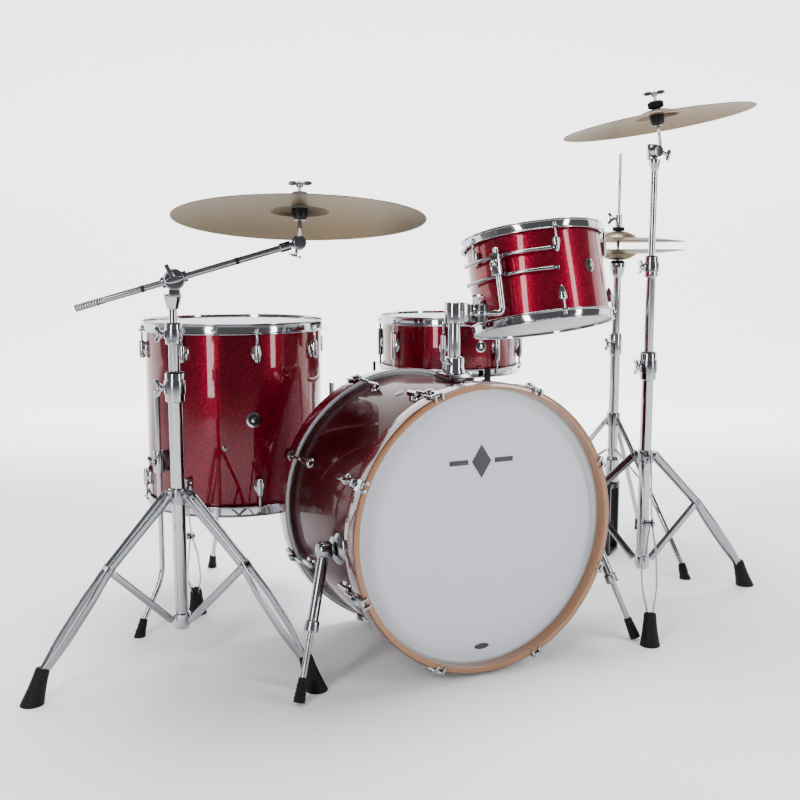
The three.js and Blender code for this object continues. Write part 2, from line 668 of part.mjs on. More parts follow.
// ---- Crash stand: the tripod is one piece, with its tubes, tilter and cymbal moving on it.
function fixedTripod(turns) {
  const pieces = turns.map((turn) => tripodLeg(turn));
  for (const turn of turns) {
    const middle = around(TRIPOD_MID[0], turn, TRIPOD_MID[1]);
    pieces.push(rod(middle, around(8, turn, TRIPOD_LOW - 3), 4, 6));
    pieces.push(block([22, 26, 16], around(19, turn, TRIPOD_TOP), turn));
  }
  return pieces;
}
const crashStand = group([...CRASH_STAND, 0]);
part('crash_base', cut(join(
  tripodTube(606, 66), ...fixedTripod(CRASH_LEG_TURNS),
  turned([[0, 336], [19, 336], [19, 372], [0, 372]], 12)),
  rod([0, 0, 170], [0, 0, 620], 11 + GAP, 12)), chrome, crashStand);
part('crash_middle_tube', innerTube(420, 832, 50, 11, 8 + GAP), chrome, crashStand);
part('crash_upper_tube', join(
  rod([0, 0, 640], [0, 0, 1030], 8, 12),
  turned([[0, 1030], [9, 1030], [13, 1046], [13, 1052], [0, 1052]], 12),
  block([24, 12, 34], [0, 9, CRASH_TILTER_HEIGHT]),
  block([24, 24, 6], [0, 3, 1052])), chrome, crashStand);

const crashNormal = vector(CRASH_LEAN).normalize();
const crashFoot = [CRASH_STAND[0] + 10, CRASH_STAND[1] - 9, CRASH_TILTER_HEIGHT + 2];
const crashDrop = 62;
const crashCentre = vector(crashFoot).addScaledVector(crashNormal, crashDrop);
const crashStem = cymbalRod(CRASH, crashDrop).applyQuaternion(leanTurn(CRASH_LEAN))
  .translate(...crashCentre.toArray());
part('crash_tilter', join(
  rod([CRASH_STAND[0], CRASH_STAND[1] - 15, CRASH_TILTER_HEIGHT],
    [CRASH_STAND[0], CRASH_STAND[1] + 3 - GAP, CRASH_TILTER_HEIGHT], 13, 12),
  rod([CRASH_STAND[0] + 8, CRASH_STAND[1] - 9, CRASH_TILTER_HEIGHT],
    [CRASH_STAND[0] + 34, CRASH_STAND[1] - 9, CRASH_TILTER_HEIGHT - 8], 5, 8),
  crashStem), chrome);
const crashGroup = group(crashCentre.toArray());
crashGroup.quaternion.copy(leanTurn(CRASH_LEAN));
part('crash_cymbal', cymbal(CRASH), bronze, crashGroup);

// ---- Hi-hat stand: local X points from the stand towards the heel of the pedal.
const hatStand = group([...HAT_STAND, 0]);
hatStand.rotation.z = HAT_PEDAL_TURN * DEG;
function hatBase() {
  const legs = HAT_LEG_TURNS.map((turn) => plainLeg(turn - HAT_PEDAL_TURN, 384, 290, 7));
  const braces = HAT_LEG_TURNS.map((turn) => rod(
    around(10, turn - HAT_PEDAL_TURN, 296), around(150, turn - HAT_PEDAL_TURN, 206), 4, 8));
  const tube = join(
    turned([[0, 190], [20, 190], [20, 276], [14, 276], [14, 562], [18, 562], [18, 622], [0, 622]], 12),
    turned([[0, 364], [19, 364], [19, 400], [0, 400]], 12),
    wing(18, 60, 592), ...legs, ...braces);
  const frame = join(
    block([14, 12, 200], [0, 42, 102]),
    block([14, 12, 200], [0, -42, 102]),
    block([24, 96, 14], [0, 0, 195]),
    block([24, 96, 8], [0, 0, 4]),
    block([250, 10, 8], [128, 32, 4]),
    block([250, 10, 8], [128, -32, 4]),
    block([70, 92, 10], [272, 0, 5]),
    block([14, 6, 24], [246, 33, 14]),
    block([14, 6, 24], [246, -33, 14]),
    rod([246, -33, 18], [246, 33, 18], 3));
  const bore = rod([0, 0, 150], [0, 0, 640], 11 + GAP, 12);
  return cut(join(tube, frame), bore);
}
part('hihat_base', hatBase(), chrome, hatStand);

const hatCrown = HAT.bow + HAT.dome + CYMBAL_THICK;
const hatSeat = HAT_RIM_LOW - hatCrown - GAP;
part('hihat_tube', turned([
  [4 + GAP, 430], [11, 430], [11, hatSeat - 46], [15, hatSeat - 40], [21, hatSeat - 20],
  [21, hatSeat - 6], [12, hatSeat], [4 + GAP, hatSeat],
], 12), chrome, hatStand);

const hatTop = HAT_RIM_HIGH + hatCrown + GAP;
const hatNut = HAT_RIM_HIGH + HAT.bow + HAT.dome - 1.2 - GAP;
part('hihat_pull_rod', join(
  rod([0, 0, 208], [0, 0, HAT_ROD_HIGH], 4, 10),
  rod([0, 0, hatNut - 9], [0, 0, hatNut], 11, 12),
  rod([0, 0, hatNut], [0, 0, hatTop], 5.5, 10),
  turned([[0, hatTop], [16, hatTop], [16, hatTop + 12], [9, hatTop + 14], [9, hatTop + 46],
    [0, hatTop + 46]], 12),
  block([34, 6, 14], [0, 0, hatTop + 34], 100)), chrome, hatStand);
const hatHigh = part('hihat_top_cymbal', cymbal(HAT), bronze, hatStand);
hatHigh.position.z = HAT_RIM_HIGH;
const hatLow = part('hihat_bottom_cymbal', cymbal(HAT), bronze, hatStand);
hatLow.position.z = HAT_RIM_LOW;
hatLow.rotation.x = Math.PI;

// The footboard slopes up from the heel hinge; its toe hangs under the pull rod.
const heel = [246, 0, 18];
const toe = [14, 0, 96];
const board = join(
  aim(block([7, 84, 206], [0, 0, 131]), heel, toe),
  aim(block([7, 50, 30], [0, 0, 17]), heel, toe),
  rod([246, -27, 18], [246, 27, 18], 7, 12));
const boardHole = rod([246, -60, 18], [246, 60, 18], 3 + GAP, 10);
part('hihat_footboard', cut(board, boardHole), black, hatStand);

export default kit;
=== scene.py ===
import json
import math

import bmesh
import bpy
from mathutils import Matrix, Vector


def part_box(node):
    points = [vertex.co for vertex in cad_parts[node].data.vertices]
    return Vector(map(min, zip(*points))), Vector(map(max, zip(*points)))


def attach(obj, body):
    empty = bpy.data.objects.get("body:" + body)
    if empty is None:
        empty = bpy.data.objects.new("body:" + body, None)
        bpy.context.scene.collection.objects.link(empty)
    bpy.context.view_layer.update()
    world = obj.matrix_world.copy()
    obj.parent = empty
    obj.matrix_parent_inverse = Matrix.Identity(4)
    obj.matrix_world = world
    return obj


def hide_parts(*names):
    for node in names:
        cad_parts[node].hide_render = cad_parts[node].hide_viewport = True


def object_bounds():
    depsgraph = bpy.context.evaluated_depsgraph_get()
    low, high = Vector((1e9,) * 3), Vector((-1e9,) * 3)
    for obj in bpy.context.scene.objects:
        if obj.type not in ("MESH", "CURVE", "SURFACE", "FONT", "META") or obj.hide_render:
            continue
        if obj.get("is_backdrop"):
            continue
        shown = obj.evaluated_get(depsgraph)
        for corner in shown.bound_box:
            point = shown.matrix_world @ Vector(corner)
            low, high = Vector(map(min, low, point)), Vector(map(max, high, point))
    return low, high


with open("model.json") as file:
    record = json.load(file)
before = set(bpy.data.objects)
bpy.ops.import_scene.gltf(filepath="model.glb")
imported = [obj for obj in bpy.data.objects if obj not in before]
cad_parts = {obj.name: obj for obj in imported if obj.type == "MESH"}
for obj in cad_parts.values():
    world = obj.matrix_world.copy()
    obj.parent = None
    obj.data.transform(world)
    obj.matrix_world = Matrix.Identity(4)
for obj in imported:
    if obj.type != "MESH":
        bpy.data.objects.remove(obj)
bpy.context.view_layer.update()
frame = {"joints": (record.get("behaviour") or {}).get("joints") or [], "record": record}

# Lengths in this script are millimetres, turned into metres when a piece is made.
MM = 0.001
JOINTS = {j["name"]: j for j in frame["joints"]}
BODY = {n: b for b, members in frame["record"]["behaviour"]["bodies"].items() for n in members}


def pivot(joint):
    """A point on a joint's axis, at rest."""
    return Vector(JOINTS[joint]["pos_m"]) / MM


def centre(node):
    """The middle of a CAD node's box."""
    low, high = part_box(node)
    return (low + high) / 2 / MM


def polar(circle, turn, height=0.0):
    """A point at a distance from the axis, on a heading in degrees."""
    a = math.radians(turn)
    return Vector((circle * math.cos(a), circle * math.sin(a), height))


# ---- Materials, all procedural.
def material(name, colour, metallic=0.0, roughness=0.4, coat=0.0):
    """A material with its node tree and its shader."""
    m = bpy.data.materials.new(name)
    m.use_nodes = True
    s = m.node_tree.nodes["Principled BSDF"]
    s.inputs["Base Color"].default_value = (*colour, 1)
    s.inputs["Metallic"].default_value = metallic
    s.inputs["Roughness"].default_value = roughness
    s.inputs["Coat Weight"].default_value = coat
    s.inputs["Coat Roughness"].default_value = 0.03
    return m, m.node_tree, s


def node(tree, kind, **values):
    n = tree.nodes.new(kind)
    for key, value in values.items():
        setattr(n, key, value)
    return n


def place(tree):
    return node(tree, "ShaderNodeTexCoord").outputs["Object"]


def noise(tree, vector, scale, detail=3.0):
    n = node(tree, "ShaderNodeTexNoise")
    n.inputs["Scale"].default_value = scale
    n.inputs["Detail"].default_value = detail
    tree.links.new(vector, n.inputs["Vector"])
    return n.outputs["Fac"]


def ramp(tree, fac, stops):
    r = node(tree, "ShaderNodeValToRGB")
    while len(r.color_ramp.elements) < len(stops):
        r.color_ramp.elements.new(0.5)
    for e, (at, colour) in zip(r.color_ramp.elements, stops):
        e.position = at
        e.color = (*colour, 1)
    tree.links.new(fac, r.inputs["Fac"])
    return r.outputs["Color"]


def bump(tree, shader, height, strength, distance=0.0005):
    b = node(tree, "ShaderNodeBump")
    b.inputs["Strength"].default_value = strength
    b.inputs["Distance"].default_value = distance
    tree.links.new(height, b.inputs["Height"])
    tree.links.new(b.outputs["Normal"], shader.inputs["Normal"])


def sparkle(name, dark, bright, coat=1.0):
    """Lacquer with small bright flakes under a clear coat."""
    m, t, s = material(name, dark, 0.6, 0.33, coat)
    s.inputs["Coat IOR"].default_value = 1.15 + 0.23 * coat
    s.inputs["Specular Tint"].default_value = (0.35, 0.03, 0.05, 1)
    s.inputs["Specular IOR Level"].default_value = 0.2
    v = node(t, "ShaderNodeTexVoronoi")
    v.inputs["Scale"].default_value = 780
    t.links.new(place(t), v.inputs["Vector"])
    split = node(t, "ShaderNodeSeparateColor")
    t.links.new(v.outputs["Color"], split.inputs["Color"])
    mid = tuple(a * 0.86 + b * 0.14 for a, b in zip(dark, bright))
    colour = ramp(t, split.outputs["Red"], [(0.0, dark), (0.80, mid), (0.985, bright)])
    t.links.new(colour, s.inputs["Base Color"])
    bump(t, s, split.outputs["Green"], 0.05, 0.0002)
    return m


def metal(name, colour, roughness, wear=0.06):
    """Bare or plated metal whose polish varies a little."""
    m, t, s = material(name, colour, 1.0, roughness)
    f = noise(t, place(t), 60)
    span = node(t, "ShaderNodeMapRange")
    span.inputs["To Min"].default_value = roughness
    span.inputs["To Max"].default_value = roughness + wear
    t.links.new(f, span.inputs["Value"])
    t.links.new(span.outputs["Result"], s.inputs["Roughness"])
    return m


def grained(name, colour, roughness, scale, strength, coat=0.0, shine=0.5):
    """A plain surface with a fine grain."""
    m, t, s = material(name, colour, 0.0, roughness, coat)
    s.inputs["Specular IOR Level"].default_value = shine
    f = noise(t, place(t), scale, 5)
    low = tuple(c * 0.86 for c in colour)
    t.links.new(ramp(t, f, [(0.3, low), (0.7, colour)]), s.inputs["Base Color"])
    bump(t, s, f, strength)
    return m


def radius_of(tree):
    """Distance from the piece's own axis, and height along it."""
    split = node(tree, "ShaderNodeSeparateXYZ")
    tree.links.new(place(tree), split.inputs["Vector"])
    flat = node(tree, "ShaderNodeCombineXYZ")
    tree.links.new(split.outputs["X"], flat.inputs["X"])
    tree.links.new(split.outputs["Y"], flat.inputs["Y"])
    length = node(tree, "ShaderNodeVectorMath", operation="LENGTH")
    tree.links.new(flat.outputs["Vector"], length.inputs[0])
    return length.outputs["Value"], split.outputs["Z"]


def rings(name, colour, dark, scale, metallic, roughness, strength, coat=0.0, edge=(1, 1, 1)):
    """Grooves or grain that run round the piece's own axis."""
    m, t, s = material(name, colour, metallic, roughness, coat)
    s.inputs["Specular Tint"].default_value = (*edge, 1)
    radius, height = radius_of(t)
    flat = node(t, "ShaderNodeCombineXYZ")
    t.links.new(radius, flat.inputs["X"])
    t.links.new(height, flat.inputs["Y"])
    f = noise(t, flat.outputs["Vector"], scale, 4)
    t.links.new(ramp(t, f, [(0.35, dark), (0.65, colour)]), s.inputs["Base Color"])
    bump(t, s, f, strength, 0.0003)
    return m


LACQUER = sparkle("lacquer_sparkle", (0.072, 0.0004, 0.0062), (0.34, 0.007, 0.03))
# The bass shell's copy of the red sparkle lacquer is darker than the other drums' copy as painted shade; it
# is the same lacquer.
BASS_LACQUER_PAINTED_SHADE = sparkle("bass_sparkle_painted_shade", (0.030, 0.0003, 0.0030), (0.16, 0.003, 0.014), 0.45)
# The tom's copy of the same red sparkle lacquer is lighter than the others as painted light.
TOM_LACQUER_PAINTED_LIGHT = sparkle("tom_sparkle_painted_light", (0.128, 0.0006, 0.0100), (0.46, 0.010, 0.045))
HOOP_LACQUER = grained("hoop_lacquer", (0.075, 0.003, 0.008), 0.2, 30, 0.02, 1.0)
CHROME = metal("chrome_plate", (0.43, 0.44, 0.46), 0.05)
STEEL = metal("brushed_steel", (0.30, 0.31, 0.33), 0.2)
DULL = metal("cast_chrome", (0.27, 0.28, 0.30), 0.14)
DARK = metal("dark_steel", (0.085, 0.085, 0.09), 0.3)
MAPLE = rings("maple_grain", (0.27, 0.112, 0.034), (0.18, 0.068, 0.019), 420, 0.0, 0.3, 0.1, 0.8)
SKIN = grained("coated_head", (0.58, 0.615, 0.67), 0.5, 900, 0.1)
FLESH = grained("flesh_hoop", (0.42, 0.43, 0.45), 0.4, 200, 0.05)
BRONZE = rings("lathed_bronze", (0.185, 0.152, 0.118), (0.12, 0.097, 0.074), 1100, 1.0, 0.34, 0.4,
               edge=(0.46, 0.42, 0.37))
RUBBER = grained("rubber", (0.006, 0.006, 0.0065), 0.6, 400, 0.15, shine=0.15)
BLACK = grained("black_paint", (0.008, 0.008, 0.009), 0.35, 300, 0.05, shine=0.3)
FELT = grained("grey_felt", (0.11, 0.11, 0.115), 0.95, 700, 0.8, shine=0.1)
DARK_FELT = grained("dark_felt", (0.014, 0.014, 0.016), 0.95, 700, 0.8, shine=0.1)
PRINT = grained("printed_mark", (0.03, 0.03, 0.035), 0.5, 500, 0.02)


# ---- Shapes: each gives (points, faces).
def soften(profile, size=1.0, closed=True):
    """Rounds the corners of a profile."""
    out = []
    count = len(profile)
    for k, (r, z) in enumerate(profile):
        ends = not closed and k in (0, count - 1)
        if ends or r <= 1e-6:
            out.append((r, z))
            continue
        here = Vector((r, z))
        before = Vector(profile[k - 1]) - here
        after = Vector(profile[(k + 1) % count]) - here
        if before.length < 1e-6 or after.length < 1e-6:
            out.append((r, z))
            continue
        cut = min(size, before.length * 0.45, after.length * 0.45)
        a = here + before.normalized() * cut
        b = here + after.normalized() * cut
        for s in (0.0, 0.33, 0.67, 1.0):
            p = a * (1 - s) ** 2 + here * 2 * s * (1 - s) + b * s * s
            out.append((p.x, p.y))
    return out


def lathe(profile, sides=48, size=1.0):
    """Turns a profile of (radius, height) round Z, with its corners rounded by size."""
    on_axis = profile[0][0] <= 1e-6 and profile[-1][0] <= 1e-6
    line = soften(profile, size, closed=not on_axis)
    points = []
    rows = []
    for r, z in line:
        if r <= 1e-6:
            points.append((0, 0, z))
            rows.append([len(points) - 1] * sides)
            continue
        rows.append(list(range(len(points), len(points) + sides)))
        for k in range(sides):
            a = 2 * math.pi * k / sides
            points.append((r * math.cos(a), r * math.sin(a), z))
    faces = []
    last = len(rows) - 1 if on_axis else len(rows)
    for i in range(last):
        low, high = rows[i], rows[(i + 1) % len(rows)]
        for k in range(sides):
            n = (k + 1) % sides
            loop = [low[k], low[n], high[n], high[k]]
            loop = list(dict.fromkeys(loop))
            if len(loop) > 2:
                faces.append(loop)
    return points, faces


def ring(inner, outer, low, high, sides=64, size=1.0):
    return lathe([(inner, low), (outer, low), (outer, high), (inner, high)], sides, size)


def pin(radius, low, high, sides=24, size=0.8):
    return lathe([(0, low), (radius, low), (radius, high), (0, high)], sides, size)


def brick(x, y, z, bevel=1.5):
    """A block with rounded edges, centred on the origin."""
    b = bmesh.new()
    bmesh.ops.create_cube(b, size=1)
    for v in b.verts:
        v.co = Vector((v.co.x * x, v.co.y * y, v.co.z * z))
    bmesh.ops.bevel(b, geom=b.edges[:], offset=min(bevel, min(x, y, z) * 0.4), segments=2,
                    affect="EDGES", profile=0.6)
    b.verts.index_update()
    out = [tuple(v.co) for v in b.verts], [[v.index for v in f.verts] for f in b.faces]
    b.free()
    return out


def plate(outline, thick, bevel=0.8):
    """A flat plate: the outline lies in XY and the plate is centred on it."""
    b = bmesh.new()
    face = b.faces.new([b.verts.new((x, y, -thick / 2)) for x, y in outline])
    grown = bmesh.ops.extrude_face_region(b, geom=[face])["geom"]
    for v in grown:
        if isinstance(v, bmesh.types.BMVert):
            v.co.z += thick
    rims = [e for e in b.edges if abs(e.verts[0].co.z - e.verts[1].co.z) < 1e-6]
    bmesh.ops.bevel(b, geom=rims, offset=min(bevel, thick * 0.4), segments=2, affect="EDGES", profile=0.6)
    b.verts.index_update()
    out = [tuple(v.co) for v in b.verts], [[v.index for v in f.verts] for f in b.faces]
    b.free()
    return out


def oval(x, y, count=32):
    return [(x * math.cos(2 * math.pi * k / count), y * math.sin(2 * math.pi * k / count))
            for k in range(count)]


def bend(path, radius, steps=7):
    """Rounds the corners of a path."""
    path = [Vector(p) for p in path]
    out = [path[0]]
    for before, here, after in zip(path, path[1:], path[2:]):
        cut = min(radius, (before - here).length * 0.45, (after - here).length * 0.45)
        a = here + (before - here).normalized() * cut
        b = here + (after - here).normalized() * cut
        for k in range(steps):
            s = k / (steps - 1)
            out.append(a * (1 - s) ** 2 + here * 2 * s * (1 - s) + b * s * s)
    out.append(path[-1])
    return out


def tube(path, radius, sides=20, flat=1.0, across=None):
    """A bar along a path; flat squashes its section and across is the wide direction."""
    path = [Vector(p) for p in path]
    ends = min(1.0, radius * 0.3)
    first = (path[1] - path[0]).normalized()
    last = (path[-1] - path[-2]).normalized()
    stations = [(path[0], 1 - ends / radius), (path[0] + first * ends, 1.0)]
    stations += [(p, 1.0) for p in path[1:-1]]
    stations += [(path[-1] - last * ends, 1.0), (path[-1], 1 - ends / radius)]
    side = Vector(across) if across else first.orthogonal()
    points, faces = [], []
    for i, (p, size) in enumerate(stations):
        low = stations[max(i - 1, 0)][0]
        high = stations[min(i + 1, len(stations) - 1)][0]
        along = (high - low).normalized()
        side = (side - along * side.dot(along)).normalized()
        up = along.cross(side)
        for k in range(sides):
            a = 2 * math.pi * k / sides
            points.append(tuple(p + (side * math.cos(a) + up * math.sin(a) * flat) * radius * size))
    for i in range(len(stations) - 1):
        for k in range(sides):
            n = (k + 1) % sides
            faces.append([i * sides + k, i * sides + n, (i + 1) * sides + n, (i + 1) * sides + k])
    faces.append(list(range(sides))[::-1])
    faces.append([(len(stations) - 1) * sides + k for k in range(sides)])
    return points, faces


def moved(shape, matrix):
    points, faces = shape
    return [tuple(matrix @ Vector(p)) for p in points], faces


def shift(shape, offset):
    return moved(shape, Matrix.Translation(Vector(offset)))


def aimed(shape, start, end):
    """Turns a shape made along +Z from the origin to run from start towards end."""
    start, end = Vector(start), Vector(end)
    turn = Vector((0, 0, 1)).rotation_difference((end - start).normalized())
    return moved(shape, Matrix.Translation(start) @ turn.to_matrix().to_4x4())


def outward(shape, circle, turn, height):
    """Stands a shape on a drum or tube: its +X points away from the axis."""
    m = Matrix.Translation(polar(circle, turn, height)) @ Matrix.Rotation(math.radians(turn), 4, "Z")
    return moved(shape, m)


def on_floor(shape):
    """Cuts off what is below the floor."""
    b = bmesh.new()
    spots = [b.verts.new(p) for p in shape[0]]
    for f in shape[1]:
        b.faces.new([spots[k] for k in f])
    whole = b.verts[:] + b.edges[:] + b.faces[:]
    cut = bmesh.ops.bisect_plane(b, geom=whole, plane_co=(0, 0, 0), plane_no=(0, 0, -1), clear_outer=True)
    edges = [e for e in cut["geom_cut"] if isinstance(e, bmesh.types.BMEdge)]
    bmesh.ops.holes_fill(b, edges=edges, sides=0)
    b.verts.index_update()
    out = [tuple(v.co) for v in b.verts], [[v.index for v in f.verts] for f in b.faces]
    b.free()
    return out


def leaning(origin, axis):
    """A frame at origin whose Z lies along axis."""
    turn = Vector((0, 0, 1)).rotation_difference(Vector(axis).normalized())
    return Matrix.Translation(Vector(origin)) @ turn.to_matrix().to_4x4()


class Piece:
    """A visible piece that stands for CAD nodes and moves with their body."""

    def __init__(self, name, nodes, slot, matrix):
        self.name, self.nodes, self.slot, self.matrix = name, nodes, slot, matrix
        self.points, self.faces, self.looks, self.materials = [], [], [], []

    def add(self, shape, look):
        if look not in self.materials:
            self.materials.append(look)
        base = len(self.points)
        self.points += shape[0]
        self.faces += [[base + k for k in f] for f in shape[1]]
        self.looks += [self.materials.index(look)] * len(shape[1])
        return self

    def make(self):
        mesh = bpy.data.meshes.new(self.name)
        m = self.matrix.copy()
        turn = Matrix.Identity(3)
        if abs(m[2][2] - 1) < 1e-9:
            # An upright piece takes its turn in the mesh, so its own box stays square to the frame.
            turn = m.to_3x3()
            m = Matrix.Translation(m.translation)
        mesh.from_pydata([tuple(turn @ Vector(p) * MM) for p in self.points], [], self.faces)
        for look in self.materials:
            mesh.materials.append(look)
        mesh.polygons.foreach_set("material_index", self.looks)
        b = bmesh.new()
        b.from_mesh(mesh)
        bmesh.ops.recalc_face_normals(b, faces=b.faces[:])
        b.to_mesh(mesh)
        b.free()
        mesh.shade_smooth()
        mesh.set_sharp_from_angle(angle=math.radians(34))
        o = bpy.data.objects.new(self.name, mesh)
        bpy.context.scene.collection.objects.link(o)
        m.translation = m.translation * MM
        o.matrix_world = m
        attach(o, BODY[self.nodes[0]])
        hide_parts(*self.nodes)
        return o


# ---- Small fittings.
def wing(piece, radius, turn, height, span=32.0, look=CHROME):
    """A wing bolt standing out of a collar."""
    piece.add(outward(aimed(pin(4.2, 0, 18), (0, 0, 0), (1, 0, 0)), radius - 2, turn, height), look)
    piece.add(outward(aimed(lathe([(0, 0), (8, 0), (6, 7), (0, 7)]), (0, 0, 0), (1, 0, 0)),
                      radius + 6, turn, height), look)
    half = span / 2
    ears = [(-5, -4), (0, -5), (5, -4), (half, 2), (half + 1, 8), (half - 5, 10), (5, 5), (0, 4),
            (-5, 5), (5 - half, 10), (-half - 1, 8), (-half, 2)]
    face = Matrix(((0, 1, 0, 0), (0, 0, 1, 0), (1, 0, 0, 0), (0, 0, 0, 1)))
    piece.add(outward(moved(plate(ears, 4.5, 1.2), face), radius + 12, turn, height), look)


def wing_nut(piece, height, look=CHROME):
    piece.add(lathe([(0, height), (8, height), (6.5, height + 9), (0, height + 9)]), look)
    for side in (-1, 1):
        ear = [(side * 14.5 + 10.5 * math.cos(a), 4.6 * math.sin(a))
               for a in [2 * math.pi * k / 24 for k in range(24)]]
        face = Matrix.Rotation(math.radians(-25), 4, "Z") @ Matrix.Rotation(math.pi / 2, 4, "X")
        piece.add(shift(moved(plate(ear, 3.6, 1.2), face), (0, 0, height + 8)), look)


def badge(piece, circle, turn, height, width, tall):
    """A plain maker's-plate shape with no mark on it."""
    stand = Matrix.Rotation(math.pi / 2, 4, "Y")
    piece.add(outward(moved(plate(oval(tall, width), 2.0, 0.6), stand), circle + 0.8, turn, height), CHROME)
    piece.add(outward(moved(plate(oval(tall * 0.74, width * 0.74), 1.0, 0.3), stand),
                      circle + 1.9, turn, height), BLACK)
    piece.add(outward(moved(plate(oval(tall * 0.36, width * 0.36), 1.0, 0.3), stand),
                      circle + 2.6, turn, height), CHROME)


def tube_lug(piece, circle, turn, height, long, thick=7.0):
    """A lug whose barrel stands off the shell on a domed foot."""
    foot = moved(lathe([(0, -1), (19, -1), (17, 4), (9, 9), (0, 10)], 32, 3.0),
                 Matrix.Diagonal((1, 0.66, 1, 1)))
    face = Matrix.Rotation(math.pi / 2, 4, "Y")
    piece.add(outward(moved(foot, face), circle, turn, height), CHROME)
    barrel = lathe([(0, -long / 2), (thick * 0.7, -long / 2), (thick, -long / 2 + 5),
                    (thick, long / 2 - 5), (thick * 0.7, long / 2), (0, long / 2)], 24, 1.5)
    piece.add(outward(barrel, circle + thick + 2, turn, height), CHROME)


def teardrop_lug(piece, circle, turn, height, long, side):
    """A domed lug, wide at the key rod and tapering away from it."""
    body = lathe([(0, 0), (8.5, 1), (9.5, 7), (8, long * 0.5), (4, long - 3), (0, long)], 28, 3.0)
    body = moved(body, Matrix.Diagonal((0.85, 1, 1, 1)))
    if side > 0:
        body = moved(body, Matrix.Rotation(math.pi, 4, "X"))
    piece.add(outward(body, circle + 5, turn, height + side * long / 2), CHROME)


# ---- Bass drum: local Z runs to the front, local Y is up.
BASS_RADIUS, BASS_HALF = 277.0, 178.0
front, back = centre("bass_front_head"), centre("bass_batter_head")
bass_axis = (front - back).normalized()
bass_at = Matrix.Translation((front + back) / 2) @ Matrix.Rotation(
    math.atan2(-bass_axis.y, bass_axis.z), 4, "X")
bass_turns = [22.5 + 45 * k for k in range(8)]

shell = Piece("bass_shell_look", ["bass_shell"], "lacquer", bass_at)
shell.add(ring(BASS_RADIUS - 7, BASS_RADIUS, -BASS_HALF, BASS_HALF, 160), BASS_LACQUER_PAINTED_SHADE)
for turn in bass_turns:
    for side in (-1, 1):
        tube_lug(shell, BASS_RADIUS, turn, side * 100, 48)
for turn in (112, 68):
    badge(shell, BASS_RADIUS, turn, 20, 9, 9)
spur_y = pivot("spur_left_fold").z - bass_at.translation.z
spur_z = bass_at.translation.y - pivot("spur_left_fold").y
for side in (-1, 1):
    flange = lathe([(0, 0), (37, 0), (35, 8), (24, 15), (0, 17)], 48, 3)
    flange = moved(flange, Matrix.Diagonal((1, 0.92, 1, 1)))
    shell.add(aimed(flange, (side * 272, spur_y, spur_z), (side * 300, spur_y, spur_z)), DULL)
shell.make()

for side, name in ((1, "front"), (-1, "batter")):
    head = Piece(f"bass_{name}_head_look", [f"bass_{name}_head"], "skin", bass_at)
    skin = [(0, 176.6), (262, 176.6), (272, 176.0), (279, 172), (281, 172), (281, 180), (275, 180),
            (266, 178.2), (0, 178)]
    head.add(lathe([(r, side * z) for r, z in skin], 160, 1.5), SKIN)
    head.add(lathe([(273, side * 179.6), (281, side * 179.6), (281, side * 181.6), (273, side * 181)],
                   160, 0.8), FLESH)
    if side > 0:
        # A plain generic mark: a diamond between two bars, and a small pill near the bottom.
        for x in (-1, 1):
            bar = [(x * 30, 5), (x * 30, -5), (x * 72, -5), (x * 72, 5)]
            head.add(shift(plate(bar[::x], 0.8, 0.2), (0, 132, 178.4)), PRINT)
        head.add(shift(plate([(0, 34), (22, 0), (0, -34), (-22, 0)], 0.8, 0.2), (0, 132, 178.4)), PRINT)
        head.add(shift(plate(oval(17, 6), 0.8, 0.2), (0, -246, 178.4)), PRINT)
    head.make()

    hoop = Piece(f"bass_{name}_hoop_look", [f"bass_{name}_hoop"], "maple" if side > 0 else "lacquer", bass_at)
    # The front hoop's inner wall and rims are bare maple. The back hoop's take the grey flesh-hoop colour as
    # a painted reflection, since that rim is dark lacquer whose rounded edge catches the light.
    maple_or_painted_sheen = MAPLE if side > 0 else FLESH
    outer = [(288.4, 166.4), (290.4, 166.4), (290.4, 206), (288.4, 206)]
    inner = [(281.8, 166), (288.4, 166), (288.4, 208), (277, 208), (277, 182), (281.8, 182)]
    hoop.add(lathe([(r, side * z) for r, z in outer], 160, 0.7), HOOP_LACQUER)
    hoop.add(lathe([(r, side * z) for r, z in inner], 160, 1.2), maple_or_painted_sheen)
    for turn in bass_turns:
        hoop.add(outward(brick(6, 24, 38, 2.4), 294, turn, side * 190), CHROME)
        for across in (-8, 8):
            m = Matrix.Translation((0, across, 0))
            hoop.add(outward(moved(brick(15, 7, 5, 2), m), 288.5, turn, side * 210), DULL)
        hoop.add(outward(brick(13, 16, 16, 4), 297, turn, side * 176), DULL)
        low, high = sorted((side * 122, side * 182))
        hoop.add(outward(pin(3.2, low, high, 14), 294, turn, 0), CHROME)
        tip = sorted((side * 181, side * 190))
        hoop.add(outward(pin(5.2, *tip, 8, 0.6), 296, turn, 0), CHROME)
    hoop.make()

